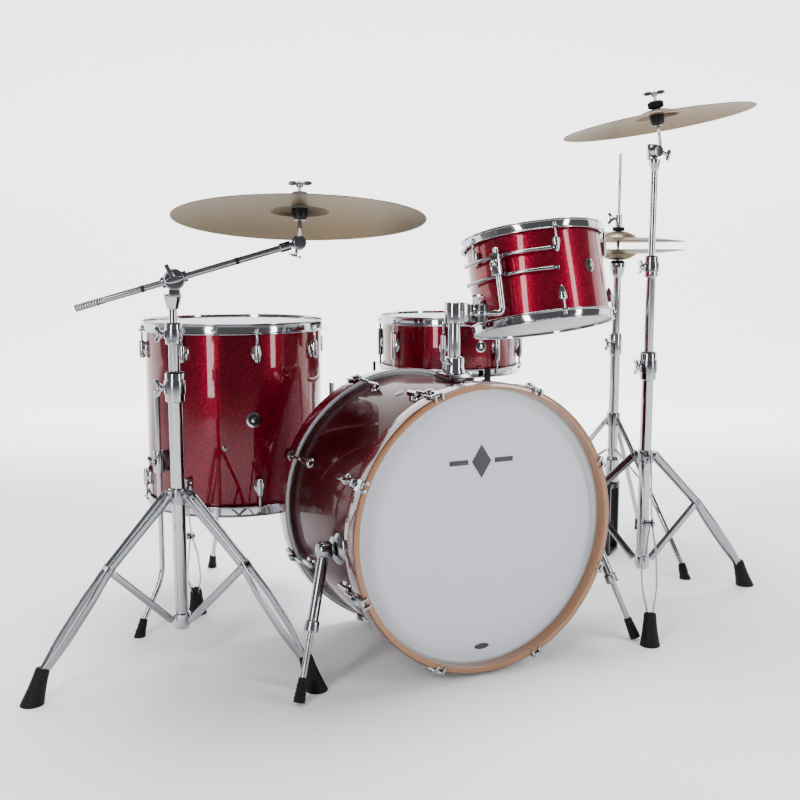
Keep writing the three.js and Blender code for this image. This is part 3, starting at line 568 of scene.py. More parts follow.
# ---- Spurs.
for side, name in ((1, "left"), (-1, "right")):
    hinge = pivot(f"spur_{name}_fold")
    slide = Vector(JOINTS[f"spur_{name}_extend"]["axis"]).normalized()
    reach = (5.4 - hinge.z) / slide.z
    toe = hinge + slide * reach
    inward = 1 if hinge.x < bass_at.translation.x else -1
    here = Matrix.Identity(4)
    spur = Piece(f"spur_{name}_look", [f"spur_{name}"], "chrome", here)
    spur.add(aimed(lathe([(0, -14), (15, -14), (17, -10), (17, 9), (14, 14), (0, 14)], 32, 2),
                   hinge, hinge - Vector((inward, 0, 0))), DULL)
    sleeve = [(0, 4), (10.5, 4), (10.5, 134), (14, 136), (14, 155), (6.8, 156), (6.8, 40), (0, 40)]
    spur.add(aimed(lathe(sleeve, 32, 1), hinge, toe), STEEL)
    spur.make()
    rod = Piece(f"spur_{name}_rod_look", [f"spur_{name}_rod"], "chrome", here)
    rod.add(aimed(pin(6, 96, reach - 40, 24), hinge, toe), STEEL)
    ribs = [(0, reach - 46), (8, reach - 46)]
    for k in range(5):
        z = reach - 42 + k * 8
        ribs += [(9 + k * 0.6, z), (9 + k * 0.6, z + 5), (8 + k * 0.6, z + 5.5)]
    ribs += [(12, reach), (0, reach)]
    rod.add(on_floor(aimed(lathe(ribs, 32, 0.8), hinge, toe)), RUBBER)
    rod.make()


# ---- Drums that stand upright.
def upright(name, radius, half, lugs, turn, long, at_height, rise, matrix, lacquer, style):
    """Shell, heads and hoops of an upright drum; returns the shell's piece for its own fittings."""
    turns = [turn + 360 * k / lugs for k in range(lugs)]
    body = Piece(f"{name}_shell_look", [f"{name}_shell"], "lacquer", matrix)
    body.add(ring(radius - 6, radius, -half, half, 144), lacquer)
    for t in turns:
        for side in ((-1, 1) if at_height else (0,)):
            if style == "teardrop":
                teardrop_lug(body, radius, t, side * at_height, long, side)
            else:
                tube_lug(body, radius, t, side * at_height, long)
    for side, tag in ((1, "top"), (-1, "bottom")):
        joined = name == "snare" and side < 0
        if not joined:
            head = Piece(f"{name}_{tag}_head_look", [f"{name}_{tag}_head"], "skin", matrix)
            film = [(0, half + 0.5), (radius - 9, half + 0.5), (radius + 1, half - 7),
                    (radius + 3.8, half - 7), (radius + 3.8, half + 1.4), (0, half + 1.4)]
            head.add(lathe([(r, side * z) for r, z in film], 144, 1.5), SKIN)
            head.make()
        hoop = Piece(f"{name}_{tag}_hoop_look", [f"{name}_{tag}_hoop"], "chrome", matrix)
        base, top = half - 14, half + rise
        inner = radius + 4.2
        band = [(inner, base), (inner + 8, base), (inner + 8, base + 2.4), (inner + 2.6, base + 3.4),
                (inner + 2.2, top - 4), (inner + 5.5, top - 1.8), (inner + 5, top), (inner, top - 0.6)]
        hoop.add(lathe([(r, side * z) for r, z in band], 144, 1.1), CHROME)
        if joined:
            hoop.add(pin(radius + 4, -half - 1.6, -half - 0.5, 144, 0.4), SKIN)
            for k in range(12):
                y = (k - 5.5) * 3.2
                hoop.add(tube([(-150, y, -half - 2.6), (150, y, -half - 2.6)], 0.8, 6), DULL)
            for end in (-1, 1):
                hoop.add(shift(brick(10, 44, 2, 0.6), (end * 153, 0, -half - 2.8)), DULL)
        lug_end = at_height + long / 2
        for t in turns:
            hoop.add(outward(brick(15, 13, 3.4, 1.4), radius + 9, t, side * (base + 1.8)), CHROME)
            a, b = sorted((side * (lug_end - 2), side * (base + 11)))
            hoop.add(outward(pin(2.7, a, b, 12), radius + 9, t, 0), CHROME)
            a, b = sorted((side * (base + 3), side * (base + 6.5)))
            hoop.add(outward(pin(5.2, a, b, 20), radius + 9, t, 0), CHROME)
            hoop.add(outward(brick(5, 5, 7, 0.8), radius + 9, t, side * (base + 10)), CHROME)
        hoop.make()
    return body


tom_low, tom_high = centre("tom_bottom_head"), centre("tom_top_head")
tom_at = leaning((tom_low + tom_high) / 2, tom_high - tom_low)
TOM_RADIUS, FLOOR_TOM_RADIUS, SNARE_RADIUS = 152.4, 203.2, 177.8
tom = upright("tom", TOM_RADIUS, 101, 5, 39.1, 34, 52, 7.5, tom_at, TOM_LACQUER_PAINTED_LIGHT, "teardrop")
badge(tom, TOM_RADIUS, -74, 6, 12, 15)
tom.make()

low, high = centre("floor_tom_bottom_head"), centre("floor_tom_top_head")
floor_at = leaning((low + high) / 2, (0, 0, 1))
floor_tom = upright("floor_tom", FLOOR_TOM_RADIUS, 203, 8, 41.9, 40, 148, 10, floor_at, LACQUER, "tube")
badge(floor_tom, FLOOR_TOM_RADIUS, -95.4, 2, 17, 17)
badge(floor_tom, FLOOR_TOM_RADIUS, -113.8, -60, 5, 5)
LEG_TURNS = [207, 87, 327]
for turn in LEG_TURNS:
    block = brick(32, 28, 44, 5)
    floor_tom.add(outward(block, 219, turn, -92), DULL)
    floor_tom.add(outward(ring(6.6, 12, -116, -68, 32, 1.5), 233, turn, 0), CHROME)
    wing(floor_tom, 243, turn, -92, 30)
floor_tom.make()
for k, turn in enumerate(LEG_TURNS, 1):
    base = Matrix.Translation((floor_at.translation.x, floor_at.translation.y, 0))
    leg = Piece(f"floor_tom_leg_{k}_look", [f"floor_tom_leg_{k}"], "chrome", base)
    toe, ankle = polar(305, turn, -8), polar(291, turn, 32)
    leg.add(tube(bend([polar(233, turn, 540), polar(233, turn, 120), ankle], 34), 6, 20), CHROME)
    shoe = [(0, -6), (8, -6), (9, 2), (10, 12), (9.4, 14), (12, 26), (11.4, 28), (14, 46), (0, 46)]
    leg.add(on_floor(aimed(lathe(shoe, 32, 1.2), ankle, toe)), RUBBER)
    leg.make()

snare_xy = pivot("snare_tilt")
snare_at = Matrix.Translation((snare_xy.x, snare_xy.y, centre("snare_shell").z))
snare = upright("snare", SNARE_RADIUS, 68, 8, 12, 74, 0, 8, snare_at, LACQUER, "tube")
badge(snare, SNARE_RADIUS, -92, 2, 15, 15)
STRAINER = 345
snare.add(outward(brick(13, 22, 46, 2.5), 184, STRAINER, -10), BLACK)
snare.add(outward(pin(5, -40, -33, 20), 186, STRAINER, 0), CHROME)
snare.make()
lever = Piece("snare_lever_look", ["snare_strainer_lever"], "black", snare_at)
lever.add(outward(brick(4.5, 11, 50, 2), 194.8, STRAINER, -8), BLACK)
lever.add(aimed(pin(5, 0, 10, 20), polar(191.8, STRAINER, -26), polar(201.8, STRAINER, -26)), CHROME)
lever.make()

# ---- Tom mount: base, post, clamps, bent arm and suspension carrier.
post = pivot("tom_post_turn")
mount = Piece("tom_mount_base_look", ["tom_mount_base"], "chrome", Matrix.Translation((post.x, post.y, 0)))
mount.add(shift(brick(60, 80, 16, 5), (0, 0, 580)), DULL)
mount.add(lathe([(13.2, 572), (26, 572), (23, 592), (21, 598), (21, 620), (13.2, 622)], 48, 2), CHROME)
wing(mount, 20, 211, 608, 28)
for x in (-22, 22):
    for y in (-30, 30):
        mount.add(shift(lathe([(0, 587), (5, 587), (5, 590), (0, 591)], 6, 0.6), (x, y, 0)), CHROME)
mount.make()
stem = Piece("tom_post_look", ["tom_post"], "chrome", Matrix.Translation((post.x, post.y, 0)))
stem.add(lathe([(0, 600), (12.5, 600), (12.5, 728), (0, 728)], 40, 1.2), CHROME)
stem.make()

arm_start, arm_corner = pivot("tom_arm_tilt"), pivot("tom_carrier_turn")
along = (arm_corner - arm_start).normalized()
rise = Vector(JOINTS["tom_carrier_turn"]["axis"]).normalized()
here = Matrix.Identity(4)
clamp = Piece("tom_clamp_look", ["tom_clamp"], "chrome", here)
clamp.add(shift(ring(13, 21, 692, 736, 40, 2), (post.x, post.y, 0)), CHROME)
clamp.add(shift(brick(24, 34, 40, 5), (post.x + 17, post.y, 714)), DULL)
for at, size in ((-18, 15.5), (12, 17)):
    spot = arm_start + along * (at + 11)
    clamp.add(shift(lathe([(0, -19), (size - 2, -19), (size - 2, 19), (0, 19)], 40, 2.5), spot), DARK)
    clamp.add(shift(ring(size - 6, size - 1.4, -4, 4, 40, 1), spot), CHROME)
clamp.add(aimed(ring(7, 13, 3, 12, 32), arm_start, arm_corner), CHROME)
bolt = arm_start + along * 15 + Vector((0, 0, 12))
clamp.add(aimed(pin(4, 0, 24), bolt, bolt + Vector((0, 0, 1))), CHROME)
clamp.add(shift(brick(26, 6, 7, 2), bolt + Vector((0, 0, 24))), CHROME)
clamp.make()
arm = Piece("tom_arm_look", ["tom_arm"], "chrome", here)
arm.add(tube(bend([arm_start, arm_corner, arm_corner + rise * 140], 15), 6.5, 24), CHROME)
arm.make()

level = tom_at.inverted()
heading_low, heading_high = level @ (arm_corner + rise * 82), level @ (arm_corner + rise * 126)
grip = (heading_low + heading_high) / 2
heading = math.degrees(math.atan2(grip.y, grip.x))
BAR_CIRCLE = TOM_RADIUS + 16.4
carrier = Piece("tom_carrier_look", ["tom_carrier"], "chrome", tom_at)
for offset in (-21.5, 21.5):
    sweep = [polar(BAR_CIRCLE, heading - 40 + 80 * k / 24, grip.z + offset) for k in range(25)]
    carrier.add(tube(sweep, 3.4, 14, 0.6, (0, 0, 1)), DULL)
    for end in (-40, 40):
        carrier.add(outward(brick(4, 12, 9, 1.4), 168.4, heading + end, grip.z + offset), DULL)
reach = math.hypot(grip.x, grip.y)
carrier.add(outward(brick(reach - 168, 17, 50, 5), (reach + 168) / 2, heading, grip.z), DULL)
carrier.add(outward(brick(25, 24, 51, 6), reach + 1, heading, grip.z), CHROME)
wing(carrier, reach + 11, heading, grip.z, 26)
carrier.make()


# ---- Stands: how far a tube's bore runs, and the tripod's joints as (distance from the axis, height).
TUBE_RADIUS = 14.0
BORE_DEPTH = 260
TRIPOD_TOP, TRIPOD_MIDDLE, TRIPOD_LOW = (24, 358), (154, 229), (24, 100)
TRIPOD_ANKLE, TRIPOD_TOE = (292, 52), (314, -10)


def spoke(joint, turn):
    return polar(joint[0], turn, joint[1])


def at_floor(point):
    return Matrix.Translation((point.x, point.y, 0))


def collar_tube(name, node, matrix, low, high, radius, collar, bore, wing_span=34):
    p = Piece(name, [node], "chrome", matrix)
    flare = radius + 5.5
    outer = [(0, low), (radius, low), (radius, high - collar), (flare, high - collar + 2), (flare, high - 2)]
    inner = [(bore + 1, high), (bore, high - 2), (bore, high - BORE_DEPTH), (0, high - BORE_DEPTH)]
    p.add(lathe(outer + inner, 40, 1.2), CHROME)
    p.add(ring(bore + 0.2, flare - 1.5, high - 0.5, high + 0.6, 40, 0.3), BLACK)
    p.add(ring(flare - 1, flare + 2.2, high - collar * 0.72, high - collar * 0.28, 40, 1.2), DULL)
    wing(p, flare, 180, high - collar / 2, wing_span)
    return p


def strap_pair(piece, a, b, side, spread, wide=8.0):
    """Two flat bars from a to b; spread gives how far apart they stand at stations along the way."""
    a, b = Vector(a), Vector(b)
    across = side.cross((b - a).normalized())
    for s in (-1, 1):
        stations = [a + (b - a) * t + side * s * d for t, d in spread]
        piece.add(tube(bend(stations, 26, 5), wide, 20, 0.22, across), STEEL)


def leg_look(piece, turn):
    """A tripod leg: two pairs of flat bars and a flared foot."""
    side = polar(1, turn + 90)
    top, mid, ankle = (spoke(joint, turn) for joint in (TRIPOD_TOP, TRIPOD_MIDDLE, TRIPOD_ANKLE))
    strap_pair(piece, top, mid, side, [(-0.02, 11.5), (0.22, 11.5), (0.8, 8.8), (1.05, 8.8)])
    lens = [(-0.04, 10.6), (0.1, 10.6), (0.28, 16), (0.7, 16), (0.93, 6), (1.06, 6)]
    strap_pair(piece, mid, ankle, side, lens)
    for joint in (top, mid):
        piece.add(tube([joint - side * 14.5, joint + side * 14.5], 3.4, 16), STEEL)
        for s in (-1, 1):
            piece.add(aimed(lathe([(0, 0), (5.6, 0), (4.6, 2.6), (0, 3.2)], 20, 1), joint + side * s * 12.6,
                            joint + side * s * 20), STEEL)
    toe = spoke(TRIPOD_TOE, turn)
    near = ankle + (ankle - toe).normalized() * 8
    flared = [(0, -6), (11.5, -6), (13.5, -2), (14.5, 14), (17, 36), (20, 54), (22, 64), (22, 74), (0, 74)]
    piece.add(on_floor(aimed(lathe(flared, 40, 2), near, toe)), RUBBER)


def brace_look(piece, turn):
    """The pair of bars from a leg's middle joint to the lower collar."""
    side = polar(1, turn + 90)
    mid, low = spoke(TRIPOD_MIDDLE, turn), spoke(TRIPOD_LOW, turn)
    strap_pair(piece, low, mid, side, [(-0.01, 5.4), (0.3, 4.6), (0.7, 4.6), (1.0, 5.4)], 7.0)
    piece.add(tube([mid - side * 7, mid + side * 7], 7.6, 24), DULL)


def collar_look(piece, turns):
    """The sliding collar that the legs hang from, with a pair of ears for each."""
    piece.add(ring(14.5, 19, 339, 370, 40, 1.5), STEEL)
    for turn in turns:
        for s in (-1, 1):
            across = Matrix.Translation((0, s * 7, 0))
            piece.add(outward(moved(brick(17, 2.6, 16, 1), across), 24, turn, 358), STEEL)


def lower_look(piece):
    boss = [(0, 78), (13.4, 78), (14, 82), (17.5, 86), (17.5, 110), (14, 112), (0, 112)]
    piece.add(lathe(boss, 40, 1.2), CHROME)



# ---- Boom stand with the ride.
boom_leg = pivot("boom_leg_1_fold")
BOOM_TURNS = [193, 310, 70]
boom_xy = boom_leg - polar(TRIPOD_TOP[0], BOOM_TURNS[0])
boom_at = at_floor(boom_xy)
p = collar_tube("boom_tube_look", "boom_tube", boom_at, 80, 604, TUBE_RADIUS, 60, 11.4)
lower_look(p)
p.make()
p = Piece("boom_collar_look", ["boom_leg_collar"], "chrome", boom_at)
collar_look(p, BOOM_TURNS)
p.make()
for k, turn in enumerate(BOOM_TURNS, 1):
    p = Piece(f"boom_leg_{k}_look", [f"boom_leg_{k}"], "chrome", boom_at)
    leg_look(p, turn)
    p.make()
    p = Piece(f"boom_brace_{k}_look", [f"boom_brace_{k}"], "chrome", boom_at)
    brace_look(p, turn)
    p.make()
collar_tube("boom_middle_look", "boom_middle_tube", boom_at, 430, 701, 11, 43, 8.4, 30).make()

boom_pivot, boom_end = pivot("boom_tilt"), pivot("ride_tilt")
boom_dir = Vector(JOINTS["boom_arm_slide"]["axis"]).normalized()
boom_side = Vector((0, 0, 1)).cross(boom_dir).normalized()
here = Matrix.Identity(4)
p = Piece("boom_upper_look", ["boom_upper_tube"], "chrome", here)
p.add(shift(pin(8, 560, 732, 32), (boom_xy.x, boom_xy.y, 0)), CHROME)
neck = lathe([(0, 728), (11, 728), (18, 754), (18, 758), (0, 758)], 40, 2)
p.add(shift(neck, (boom_xy.x, boom_xy.y, 0)), CHROME)
for s in (-15.5, 15.5):
    at = boom_pivot + boom_side * s
    cheek = lathe([(0, -4), (19, -4), (21, -2), (21, 2), (19, 4), (0, 4)], 48, 1.2)
    p.add(aimed(cheek, at, at + boom_side), DULL)
    p.add(shift(brick(24, 8, 14, 2.5), at + Vector((0, 0, -27))), DULL)
at = boom_pivot - boom_side * 20
p.add(aimed(pin(5, 0, 16), at, at - boom_side), CHROME)
p.add(aimed(moved(plate(oval(18, 6), 5, 1.5), Matrix.Translation((0, 0, 18))), at, at - boom_side), CHROME)
lever_at = at - boom_side * 10
lever_bar = shift(brick(9, 5, 30, 2), (0, 0, 18))
p.add(aimed(lever_bar, lever_at, lever_at + Vector((-0.5, 0.2, 1))), STEEL)
p.make()
p = Piece("boom_clamp_look", ["boom_clamp"], "chrome", here)
p.add(aimed(ring(7, 11, -26, 26, 32, 1.4), boom_pivot, boom_pivot + boom_dir), DULL)
p.add(aimed(pin(19, -10.6, 10.6, 48, 1.5), boom_pivot, boom_pivot + boom_side), CHROME)
p.make()
length = (boom_end - boom_pivot).length
p = Piece("boom_arm_look", ["boom_arm"], "chrome", here)
p.add(aimed(pin(6.5, -195, length - 20, 32), boom_pivot, boom_end), STEEL)
for share in (0.1, 0.3, 0.74):
    at = share * (length + 177) - 197
    p.add(aimed(ring(6.4, 7.1, at, at + 7, 32, 0.3), boom_pivot, boom_end), BLACK)
knurl = [(0, -197)]
for k in range(12):
    knurl += [(7.0, -196 + k * 5), (7.6, -194 + k * 5), (7.0, -192.6 + k * 5)]
knurl += [(0, -136)]
p.add(aimed(lathe(knurl, 32, 0.4), boom_pivot, boom_end), DULL)
p.add(aimed(pin(9.5, length - 42, length - 19, 32, 1.5), boom_pivot, boom_end), DULL)
tip = boom_end + boom_side * 11.5
p.add(aimed(lathe([(0, -3.5), (15, -3.5), (15, 3.5), (0, 3.5)], 40, 1.2), tip, tip + boom_side), DULL)
p.add(tube([boom_pivot + boom_dir * (length - 26), tip - boom_dir * 6], 5.5, 20), CHROME)
under = tip + Vector((-4, 0, -13))
p.add(aimed(pin(3.6, 0, 12, 20), under, under + Vector((-0.3, 0, -1))), CHROME)
p.add(aimed(moved(plate(oval(14, 6), 4.5, 1.4), Matrix.Translation((0, 0, 14))), under,
            under + Vector((-0.3, 0, -1))), CHROME)
p.make()


def cymbal_look(name, node, matrix, radius, bow, bell, dome, flip=1):
    """A thin cymbal: a shallow bow up to the bell, and the bell's dome."""
    lower = []
    for k in range(33):
        t = k / 32
        r = radius - (radius - bell) * t
        lower.append((r, bow * (1 - (1 - t) ** 1.6)))
    for k in range(1, 15):
        r = bell + (7 - bell) * k / 14
        lower.append((r, bow + dome * (1 - (r / bell) ** 2.7)))
    upper = [(r, z + 1.6) for r, z in reversed(lower)]
    p = Piece(name, [node], "bronze", matrix)
    p.add(lathe([(r, z * flip) for r, z in lower + upper], 180, 0.5), BRONZE)
    p.make()


def rod_look(p, bow, dome, drop, felt):
    """Seat sleeve, felts, washer and wing nut on a cymbal's rod."""
    seat, top = bow + dome - 1.3, bow + dome + 2.9
    p.add(pin(4, -drop, top + 40, 20), CHROME)
    sleeve = [(0, seat - 34), (12, seat - 34), (15.5, seat - 30), (17, seat - 11), (0, seat - 11)]
    p.add(lathe(sleeve, 36, 1.5), BLACK)
    pad = [(0, seat - 11), (17, seat - 11), (17, seat - 4), (11, seat - 0.5), (0, seat - 0.3)]
    p.add(lathe(pad, 40, 2), felt)
    p.add(lathe([(0, top), (11, top + 0.3), (18, top + 3), (18, top + 15), (0, top + 15)], 40, 1.2), felt)
    p.add(lathe([(0, top + 15), (15, top + 15), (15, top + 17.5), (0, top + 17.5)], 36, 0.8), DARK)
    wing_nut(p, top + 28, STEEL)


ride_axis = pivot("ride_swing") - pivot("ride_tilt")
ride_axis.normalize()
ride_drop = (pivot("ride_swing") - pivot("ride_tilt")).length - 35
ride_at = leaning(boom_end + ride_axis * ride_drop, ride_axis)
p = Piece("ride_tilter_look", ["ride_tilter"], "chrome", ride_at)
rod_look(p, 17, 18, ride_drop, FELT)
local = ride_at.inverted()
p.add(aimed(pin(13, -8, 7.6, 40, 1.4), local @ boom_end, local @ (boom_end + boom_side)), DULL)
p.make()
cymbal_look("ride_cymbal_look", "ride_cymbal", ride_at, 254, 17, 60, 18)

# ---- Crash stand.
crash_xy = pivot("crash_tilt")
crash_at = at_floor(crash_xy)
CRASH_TURNS = [235, 355, 115]
p = collar_tube("crash_base_look", "crash_base", crash_at, 80, 606, TUBE_RADIUS, 66, 11.4)
lower_look(p)
collar_look(p, CRASH_TURNS)
for turn in CRASH_TURNS:
    leg_look(p, turn)
    brace_look(p, turn)
p.make()
collar_tube("crash_middle_look", "crash_middle_tube", crash_at, 420, 832, 11, 50, 8.4, 30).make()
p = Piece("crash_upper_look", ["crash_upper_tube"], "chrome", crash_at)
p.add(lathe([(0, 640), (8, 640), (8, 1028), (9, 1030), (13, 1046), (13, 1053), (0, 1053)], 36, 1.2), CHROME)
p.add(shift(brick(24, 11, 36, 3), (0, 9, crash_xy.z)), DULL)
p.make()
CRASH_LEAN = Vector((-0.131, 0.081, 1)).normalized()
crash_centre = pivot("crash_swing") - CRASH_LEAN * 30
stem_at = leaning(crash_centre, CRASH_LEAN)
p = Piece("crash_tilter_look", ["crash_tilter"], "chrome", stem_at)
rod_look(p, 15, 15, 62, DARK_FELT)
local = stem_at.inverted()
hub = crash_xy + Vector((0, -15, 0))
p.add(aimed(pin(13, 0, 17.4, 40, 1.4), local @ hub, local @ (hub + Vector((0, 1, 0)))), DULL)
knob = crash_xy + Vector((8, -9, 0))
p.add(aimed(pin(4.5, 0, 26, 20), local @ knob, local @ (knob + Vector((26, 0, -8)))), CHROME)
p.add(aimed(moved(plate(oval(14, 6), 5, 1.5), Matrix.Translation((0, 0, 25))), local @ knob,
            local @ (knob + Vector((26, 0, -8)))), CHROME)
p.make()
cymbal_look("crash_cymbal_look", "crash_cymbal", stem_at, 217, 15, 52, 15)


# ---- Plain tube legs of the snare and hi-hat stands.
def plain_leg(piece, turn, top, circle, radius):
    """A bent tube leg with a rubber foot."""
    ankle, toe = polar(circle - 14, turn, 34), polar(circle, turn, -6)
    shoulder = polar(60, turn, top - (top - 34) * 0.16)
    piece.add(tube(bend([polar(15, turn, top), shoulder, ankle], 20), radius, 18), CHROME)
    shoe = [(0, -4), (9, -4), (10.5, 6), (12, 20), (11, 22), (15, 36), (15, 46), (0, 46)]
    piece.add(on_floor(aimed(lathe(shoe, 32, 1.6), ankle, toe)), RUBBER)


# ---- Snare stand.
snare_floor = at_floor(snare_xy)
p = Piece("snare_stand_base_look", ["snare_stand_base"], "chrome", snare_floor)
column = [(0, 110), (13, 110), (13, 402), (17, 404), (17, 430), (11, 430), (11, 420), (0, 420)]
p.add(lathe(column, 36, 1.2), CHROME)
p.add(ring(12.5, 22, 234, 262, 36, 2), DULL)
p.add(ring(12.5, 20, 113, 133, 36, 2), DULL)
for turn in (90, 210, 330):
    plain_leg(p, turn, 246, 232, 6)
    p.add(tube([polar(16, turn, 122), polar(108, turn, 152)], 4.5, 16, 0.6), CHROME)
p.make()
p = Piece("snare_stand_tube_look", ["snare_stand_tube"], "chrome", snare_floor)
p.add(pin(10, 250, 470, 32), CHROME)
p.add(aimed(pin(14, 0, 26, 36, 1.5), (0, -13, 478), (0, 13, 478)), DULL)
p.make()
p = Piece("snare_basket_look", ["snare_basket"], "chrome", snare_floor)
for y in (-17, 17):
    p.add(shift(brick(34, 7, 34, 3), (0, y, 480)), DULL)
p.add(lathe([(0, 494), (26, 494), (26, 506), (0, 506)], 40, 2), DULL)
for turn in (30, 150, 270):
    p.add(tube([polar(10, turn, 500), polar(196, turn, 514)], 6, 18, 0.7), CHROME)
    p.add(outward(brick(20, 18, 12, 3), 196, turn, 518), RUBBER)
    p.add(outward(brick(6.6, 17, 39, 3), 202, turn, 532), RUBBER)
p.make()

# ---- Hi-hat stand: local X points from the stand to the pedal's heel.
PEDAL = 127
heel = pivot("hihat_footboard_press")
HEEL_REACH = 246
hat_xy = heel - polar(HEEL_REACH, PEDAL)
hat_at = Matrix.Translation((hat_xy.x, hat_xy.y, 0)) @ Matrix.Rotation(math.radians(PEDAL), 4, "Z")
p = Piece("hihat_base_look", ["hihat_base"], "chrome", hat_at)
p.add(lathe([(11.5, 276), (14, 276), (14, 562), (18, 564), (18, 621), (11.5, 622)], 40, 1.2), CHROME)
p.add(lathe([(11.5, 204), (18, 204), (20, 212), (20, 268), (17, 276), (11.5, 276)], 40, 2), CHROME)
p.add(lathe([(11.5, 188), (19, 188), (20, 192), (20, 204), (11.5, 204)], 40, 1.5), BLACK)
p.add(ring(13.6, 19, 364, 400, 40, 2), DULL)
wing(p, 18, 60, 592, 32)
for heading in (275, 155, 35):
    turn = heading - PEDAL
    plain_leg(p, turn, 384, 290, 7)
    p.add(tube([polar(16, turn, 296), polar(150, turn, 206)], 4.2, 16, 0.6), CHROME)
for y in (-42, 42):
    p.add(shift(brick(22, 13, 198, 3), (0, y, 102)), BLACK)
p.add(shift(brick(24, 95, 13, 4), (0, 0, 195)), BLACK)
p.add(shift(brick(24, 95, 7.6, 3), (0, 0, 4)), BLACK)
for y in (-32, 32):
    p.add(shift(brick(250, 9.6, 7.6, 2), (128, y, 4)), DARK)
p.add(shift(brick(70, 92, 9.6, 3.5), (272, 0, 5)), DULL)
for y in (-33, 33):
    p.add(shift(brick(14, 6, 24, 2), (HEEL_REACH, y, 14)), DULL)
hinge = Vector((HEEL_REACH, 0, 18))
across = Vector((0, 1, 0))
p.add(tube([hinge - across * 34, hinge + across * 34], 2.9, 16), CHROME)
p.make()

HAT_RADIUS, HAT_BOW, HAT_BELL, HAT_DOME = 178, 10, 50, 17
HAT_LOW, HAT_HIGH = 850, 871
HAT_CROWN = 29.0
seat = HAT_LOW - HAT_CROWN
p = Piece("hihat_tube_look", ["hihat_tube"], "chrome", hat_at)
cup = [(4.5, 430), (11, 430), (11, seat - 46), (15, seat - 40), (21, seat - 20), (21, seat - 7),
       (4.5, seat - 7)]
p.add(lathe(cup, 40, 1.8), CHROME)
p.add(lathe([(4.5, seat - 7), (19, seat - 7), (19, seat - 3), (12, seat), (4.5, seat)], 40, 1.5), DARK_FELT)
p.make()
crown = HAT_HIGH + HAT_CROWN
nut = HAT_HIGH + HAT_BOW + HAT_DOME - 1.6
p = Piece("hihat_rod_look", ["hihat_pull_rod"], "chrome", hat_at)
p.add(pin(4, 208, 1107, 20), CHROME)
p.add(pin(11, nut - 9, nut, 36, 1.5), DARK_FELT)
p.add(pin(5.4, nut, crown, 24, 0.3), CHROME)
p.add(lathe([(0, crown), (15, crown), (16, crown + 3), (16, crown + 11), (0, crown + 11)], 40, 2), DARK_FELT)
p.add(lathe([(0, crown + 11), (9, crown + 13), (9, crown + 45), (0, crown + 46)], 36, 1.5), CHROME)
wing(p, 9, 27, crown + 34, 30)
for k in range(11):
    link = lathe([(3.0, -0.9), (4.8, -0.9), (4.8, 0.9), (3.0, 0.9)], 16, 0.5)
    link = moved(link, Matrix.Rotation(math.pi / 2, 4, "X" if k % 2 else "Y"))
    p.add(shift(link, (5, 0, 204 - k * 8.6)), DULL)
p.make()
for name, height, flip in (("top", HAT_HIGH, 1), ("bottom", HAT_LOW, -1)):
    cymbal_look(f"hihat_{name}_look", f"hihat_{name}_cymbal", hat_at @ Matrix.Translation((0, 0, height)),
                HAT_RADIUS, HAT_BOW, HAT_BELL, HAT_DOME, flip)
p = Piece("hihat_footboard_look", ["hihat_footboard"], "black", hat_at)
slope = (Vector((14, 0, 96)) - hinge).normalized()
for offset, size, long, at in ((0, 84, 206, 131), (0, 50, 34, 18)):
    board = shift(brick(6.6, size, long, 2.4), (0, 0, at))
    p.add(aimed(board, hinge, hinge + slope * 10), DARK)
for row in range(7):
    for y in (-24, -8, 8, 24):
        stud = aimed(lathe([(0, 3), (4, 3), (3, 4.4), (0, 4.8)], 14, 0.4), (0, 0, 0), (1, 0, 0))
        stud = moved(stud, Matrix.Translation((0, y, 55 + row * 24)))
        p.add(aimed(stud, hinge, hinge + slope * 10), CHROME)
p.add(tube([hinge - across * 27, hinge + across * 27], 6.8, 24), DULL)
p.make()

m, t, s = material("studio_floor", (0.94, 0.94, 0.945), 0, 0.8)
s.inputs["Emission Color"].default_value = (1, 1, 1, 1)
deep = node(t, "ShaderNodeSeparateXYZ")
t.links.new(place(t), deep.inputs["Vector"])
glow = node(t, "ShaderNodeMapRange", interpolation_type="SMOOTHSTEP")
glow.inputs["From Min"].default_value = 0.7
glow.inputs["From Max"].default_value = 2.8
glow.inputs["To Min"].default_value = 0.0
glow.inputs["To Max"].default_value = 2.4
t.links.new(deep.outputs["Y"], glow.inputs["Value"])
t.links.new(glow.outputs["Result"], s.inputs["Emission Strength"])
fade = node(t, "ShaderNodeMapRange", interpolation_type="SMOOTHSTEP")
fade.inputs["From Min"].default_value = -3.4
fade.inputs["From Max"].default_value = -1.3
t.links.new(deep.outputs["Y"], fade.inputs["Value"])
t.links.new(ramp(t, fade.outputs["Result"], [(0.0, (0.5, 0.5, 0.51)), (1.0, (0.94, 0.94, 0.945))]),
            s.inputs["Base Color"])
line = [(-8.0, 0.0)] + [(3.2 + 1.6 * math.sin(a), 1.6 - 1.6 * math.cos(a)) for a in
                        [math.pi / 2 * k / 16 for k in range(17)]] + [(4.8, 7.0)]
points, faces = [], []
for y, z in line:
    points += [(-30, y, z), (30, y, z)]
for k in range(len(line) - 1):
    faces.append([2 * k, 2 * k + 1, 2 * k + 3, 2 * k + 2])
mesh = bpy.data.meshes.new("studio_floor")
mesh.from_pydata(points, [], faces)
mesh.shade_smooth()
mesh.materials.append(m)
floor = bpy.data.objects.new("studio_floor", mesh)
bpy.context.scene.collection.objects.link(floor)
floor.matrix_world = Matrix.Rotation(math.radians(-25.7), 4, "Z")
floor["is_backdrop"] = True

world = bpy.data.worlds.new("studio")
bpy.context.scene.world = world
world.use_nodes = True
wt = world.node_tree
sky = node(wt, "ShaderNodeTexCoord")
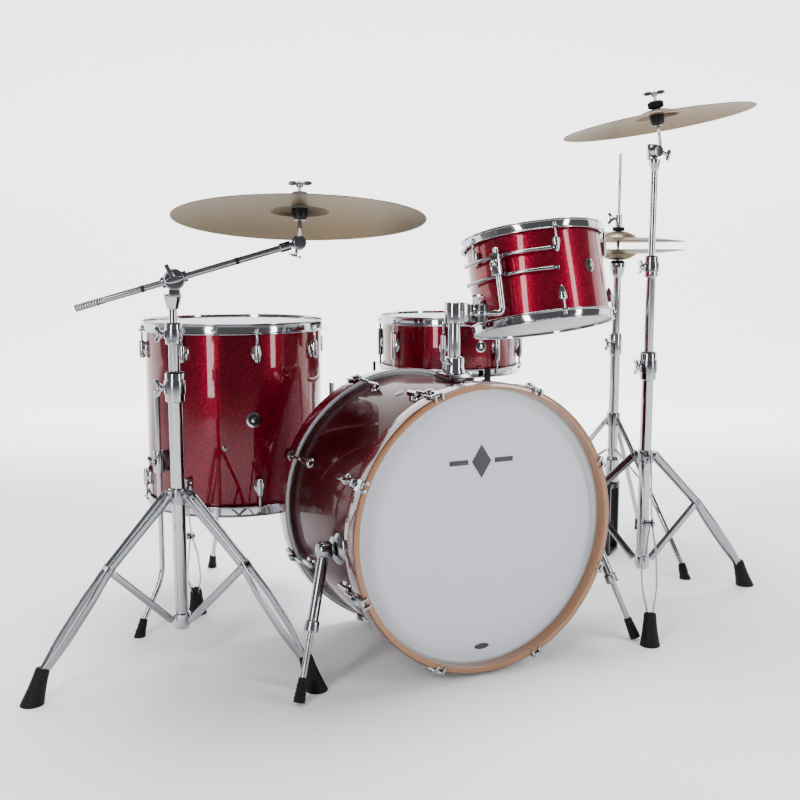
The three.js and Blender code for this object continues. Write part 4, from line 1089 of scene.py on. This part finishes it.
part = node(wt, "ShaderNodeSeparateXYZ")
wt.links.new(sky.outputs["Generated"], part.inputs["Vector"])
span = node(wt, "ShaderNodeMapRange")
span.inputs["From Min"].default_value = -1
span.inputs["From Max"].default_value = 1
wt.links.new(part.outputs["Y"], span.inputs["Value"])
shade = ramp(wt, span.outputs["Result"], [(0.0, (0.30, 0.30, 0.31)), (0.5, (0.32, 0.32, 0.33)),
                                          (0.8, (0.8, 0.8, 0.82))])
wt.links.new(shade, wt.nodes["Background"].inputs["Color"])
wt.nodes["Background"].inputs["Strength"].default_value = 0.55


def softbox(name, at, towards, width, height, power):
    light = bpy.data.lights.new(name, "AREA")
    light.shape = "RECTANGLE"
    light.size, light.size_y, light.energy = width, height, power
    o = bpy.data.objects.new(name, light)
    bpy.context.scene.collection.objects.link(o)
    o.location = at
    o.rotation_mode = "QUATERNION"
    o.rotation_quaternion = (Vector(towards) - Vector(at)).to_track_quat("-Z", "Y")


softbox("key", (-2.6, -2.0, 1.5), (0, 0, 0.5), 0.5, 2.6, 72)
softbox("fill", (1.7, -3.0, 1.5), (0, 0, 0.5), 0.45, 2.6, 60)
softbox("top", (0.2, 0.3, 3.4), (0, 0, 0), 1.7, 1.7, 190)

CAMERA_LENS, CAMERA_SENSOR = 46.67, 36
CAMERA_AT = (-1.0934, -2.1843, 0.828)
CAMERA_HEADING = (0.4331, 0.9014)
CAMERA_PITCH = math.radians(7.81)
camera = bpy.data.cameras.new("camera")
camera.lens, camera.sensor_width = CAMERA_LENS, CAMERA_SENSOR
camera.clip_start, camera.clip_end = 0.05, 60
eye = bpy.data.objects.new("camera", camera)
bpy.context.scene.collection.objects.link(eye)
eye.location = CAMERA_AT
flat = math.cos(CAMERA_PITCH)
look = Vector((CAMERA_HEADING[0] * flat, CAMERA_HEADING[1] * flat, -math.sin(CAMERA_PITCH)))
eye.rotation_mode = "QUATERNION"
eye.rotation_quaternion = look.to_track_quat("-Z", "Y")
bpy.context.scene.camera = eye

low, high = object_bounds()
